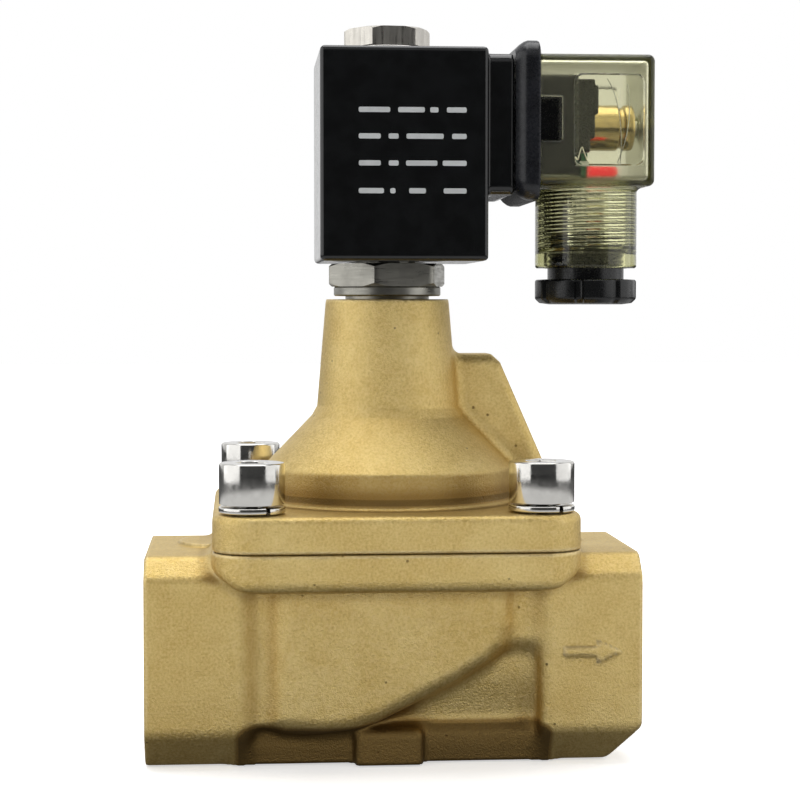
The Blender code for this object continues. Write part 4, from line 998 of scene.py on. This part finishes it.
# === flexible pieces ===
def wound_spring(name, node, wire, turns):
    """Round wire with closed end coils, wound over the height of the part it stands for."""
    low, high = box_mm(node)
    radius, around = (high[0] - low[0]) / 2 - wire, 12
    steps = turns * 32
    wound = np.arange(steps + 1) / steps * turns
    open_part = np.clip((wound - 1.0) / (turns - 2.0), 0.0, 1.0)
    closed_part = (wound - (turns - 2.0) * open_part) / 2.0
    length = high[2] - low[2]
    closed_pitch = 4.48 * wire
    open_pitch = length - 2 * wire - closed_pitch
    height = low[2] + wire + open_pitch * open_part + closed_pitch * closed_part
    thick = wire * np.sqrt(np.clip(np.minimum(wound, turns - wound) * 10.0, 0.0, 1.0))
    turn = 2 * np.pi * wound
    ring = np.arange(around) * 2 * np.pi / around
    out = radius + thick[:, None] * np.cos(ring)
    up = height[:, None] + thick[:, None] * np.sin(ring)
    points = np.stack([out * np.cos(turn)[:, None], out * np.sin(turn)[:, None], up], 2).reshape(-1, 3)
    a = (np.arange(steps)[:, None] * around + np.arange(around)).ravel()
    b = (np.arange(steps)[:, None] * around + (np.arange(around) + 1) % around).ravel()
    made = mesh_object(name, points, np.stack([a, b, b + around, a + around], 1)[:, ::-1], WIRE)
    tidy(made)
    stands_for(made, "valve", "spring_steel", node)
    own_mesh(made)


def diaphragm_rubber():
    """Rubber disc: a thin flat middle sloping up to its clamped rim."""
    low, high = box_mm("diaphragm")
    hole, rim, base, top = 2.9, (high[0] - low[0]) / 2, low[2], high[2]
    outline = [(hole, base), (16.2, base), (18.2, base + 1.5), (20.2, base + 2.7), (rim, base + 2.7)]
    outline += [(rim, top), (19.6, top), (17.4, base + 3.1), (15.6, base + 1.6), (hole, base + 1.6)]
    made = turned("diaphragm_rubber", rounded_profile(outline, [0.2, 1.5, 0.0, 1.5, 0.4] * 2), RUBBER, 96)
    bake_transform(made)
    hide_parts("diaphragm")


wound_spring("main_spring_wire", "main_spring", 0.6, 5)
wound_spring("plunger_spring_wire", "plunger_spring", 0.3, 7)
diaphragm_rubber()


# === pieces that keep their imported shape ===
KEPT = {
    PLATED: ["coil_pin_left", "coil_pin_right", "coil_pin_earth", "socket_left", "socket_right",
             "connector_screw"],
    STAINLESS: ["pilot_seat", "armature_tube", "fixed_core", "plunger", "backing_plate", "seat_plate",
                "diaphragm_bolt", "diaphragm_nut", "yoke_frame"],
    COPPER: ["shading_ring", "coil_winding"],
    RUBBER: ["tube_seal", "plunger_seal", "cable_seal"],
    NYLON: ["coil_bobbin"],
    BOARD: ["indicator_board"],
}
for look, names in KEPT.items():
    for node in names:
        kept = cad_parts[node]
        kept.data.materials.clear()
        kept.data.materials.append(look)


# === stage ===
ROOM_LIGHT = 0.05
BACK_LIGHT = 0.8
TABLE_LIGHT = 0.55


def camera():
    """A long lens at the height of the coil's foot, a little left of centre."""
    data = bpy.data.cameras.new("camera")
    data.lens = 91.5
    data.clip_start, data.clip_end = 0.01, 20.0
    made = in_scene("camera", data)
    made.location = (-0.0292, -0.4036, 0.0884)
    made.rotation_euler = (math.radians(90.0 - 2.75), 0.0, math.radians(-4.5))
    bpy.context.scene.camera = made


def area_light(name, place, target, size, watts):
    data = bpy.data.lights.new(name, "AREA")
    data.shape = "RECTANGLE"
    data.size, data.size_y = size
    data.energy = watts
    made = in_scene(name, data)
    made.location = place
    made.rotation_euler = (Vector(target) - Vector(place)).to_track_quat("-Z", "Y").to_euler()
    return made


def studio():
    """White backdrop, a dim room in front, softboxes, and three lights that fill only the castings."""
    scene = bpy.context.scene
    scene.view_settings.view_transform = "Standard"
    world = bpy.data.worlds.new("studio")
    scene.world = world
    world.use_nodes = True
    new, link = world.node_tree.nodes.new, world.node_tree.links.new
    ambient, seen = world.node_tree.nodes["Background"], new("ShaderNodeBackground")
    for background in (ambient, seen):
        background.inputs["Color"].default_value = (1.0, 1.0, 1.0, 1.0)
    direction = new("ShaderNodeSeparateXYZ")
    link(new("ShaderNodeTexCoord").outputs["Generated"], direction.inputs["Vector"])
    backdrop = new("ShaderNodeMapRange")
    for key, number in (("From Min", 0.0), ("From Max", 0.7), ("To Min", ROOM_LIGHT), ("To Max", BACK_LIGHT)):
        backdrop.inputs[key].default_value = number
    link(direction.outputs["Y"], backdrop.inputs["Value"])
    link(backdrop.outputs["Result"], ambient.inputs["Strength"])
    path, direct = new("ShaderNodeLightPath"), new("ShaderNodeMath")
    link(path.outputs["Is Camera Ray"], direct.inputs[0])
    link(path.outputs["Is Transmission Ray"], direct.inputs[1])
    choose = new("ShaderNodeMixShader")
    link(direct.outputs["Value"], choose.inputs["Fac"])
    link(ambient.outputs["Background"], choose.inputs[1])
    link(seen.outputs["Background"], choose.inputs[2])
    link(choose.outputs["Shader"], world.node_tree.nodes["World Output"].inputs["Surface"])
    middle = (0.0, 0.0, 0.07)
    area_light("front_overhead", (0.0, -0.50, 0.62), middle, (0.9, 0.45), 0.45)
    area_light("overhead", (0.0, 0.05, 0.80), middle, (0.8, 0.6), 4.4)
    area_light("left_softbox", (-0.55, -0.12, 0.34), (0.0, 0.0, 0.34), (0.75, 0.72), 1.9)
    area_light("right_softbox", (0.55, -0.12, 0.34), (0.0, 0.0, 0.34), (0.75, 0.72), 1.6)
    castings = bpy.data.collections.new("castings")
    castings.objects.link(body)
    castings.objects.link(bonnet)
    fills = [area_light("casting_front", (0.0, -0.60, 0.04), (0.0, 0.0, 0.04), (0.9, 0.07), 0.85),
             area_light("casting_left", (-0.55, -0.25, 0.20), (0.0, 0.0, 0.10), (0.75, 0.38), 0.25),
             area_light("casting_right", (0.55, -0.25, 0.20), (0.0, 0.0, 0.10), (0.75, 0.38), 0.25)]
    for fill in fills:
        fill.light_linking.receiver_collection = castings


def floor():
    """Pale ground that fades to white; to other rays it is dark and glows faintly round the castings,
    lighting them from below, with a painted shadow close to them.
    """
    bm = bmesh.new()
    bmesh.ops.create_grid(bm, x_segments=1, y_segments=1, size=2.5)
    mesh = bpy.data.meshes.new("floor")
    bm.to_mesh(mesh)
    bm.free()
    n = Nodes("pale_floor")
    tint = n.mix(n.spread(n.noise(60.0, 2.0), 0.3, 0.7), (0.93, 0.93, 0.93), (0.96, 0.96, 0.96))
    reach = n.put("ShaderNodeVectorMath", operation="LENGTH")
    n.link(n.place, reach.inputs["Vector"])
    glow = n.spread(reach.outputs["Value"], 0.06, 0.35, 0.55, 1.0)
    seen = n.put("ShaderNodeLightPath").outputs["Is Camera Ray"]
    # Only camera rays see the pale floor; every other ray sees a near-black copy, painted shade in
    # reflections and bounce.
    tint = n.mix(seen, (0.06, 0.06, 0.06), tint)
    # Glow seen only by non-camera rays, dimmed close to the castings as a painted shadow and fading out
    # beyond 0.36 m.
    glow_and_painted_shadow = n.maths("MULTIPLY", n.spread(reach.outputs["Value"], 0.05, 0.11, 0.2, 1.0),
                    n.spread(reach.outputs["Value"], 0.24, 0.36, TABLE_LIGHT, 0.0))
    glow = n.maths("ADD", n.maths("MULTIPLY", glow, seen),
                   n.maths("MULTIPLY", glow_and_painted_shadow, n.maths("SUBTRACT", 1.0, seen)))
    n.set(Base_Color=tint, Roughness=0.9, Emission_Color=(1.0, 1.0, 1.0, 1.0), Emission_Strength=glow)
    made = in_scene("floor", mesh, n.material)
    made.location.z = -0.0002


camera()
studio()
floor()
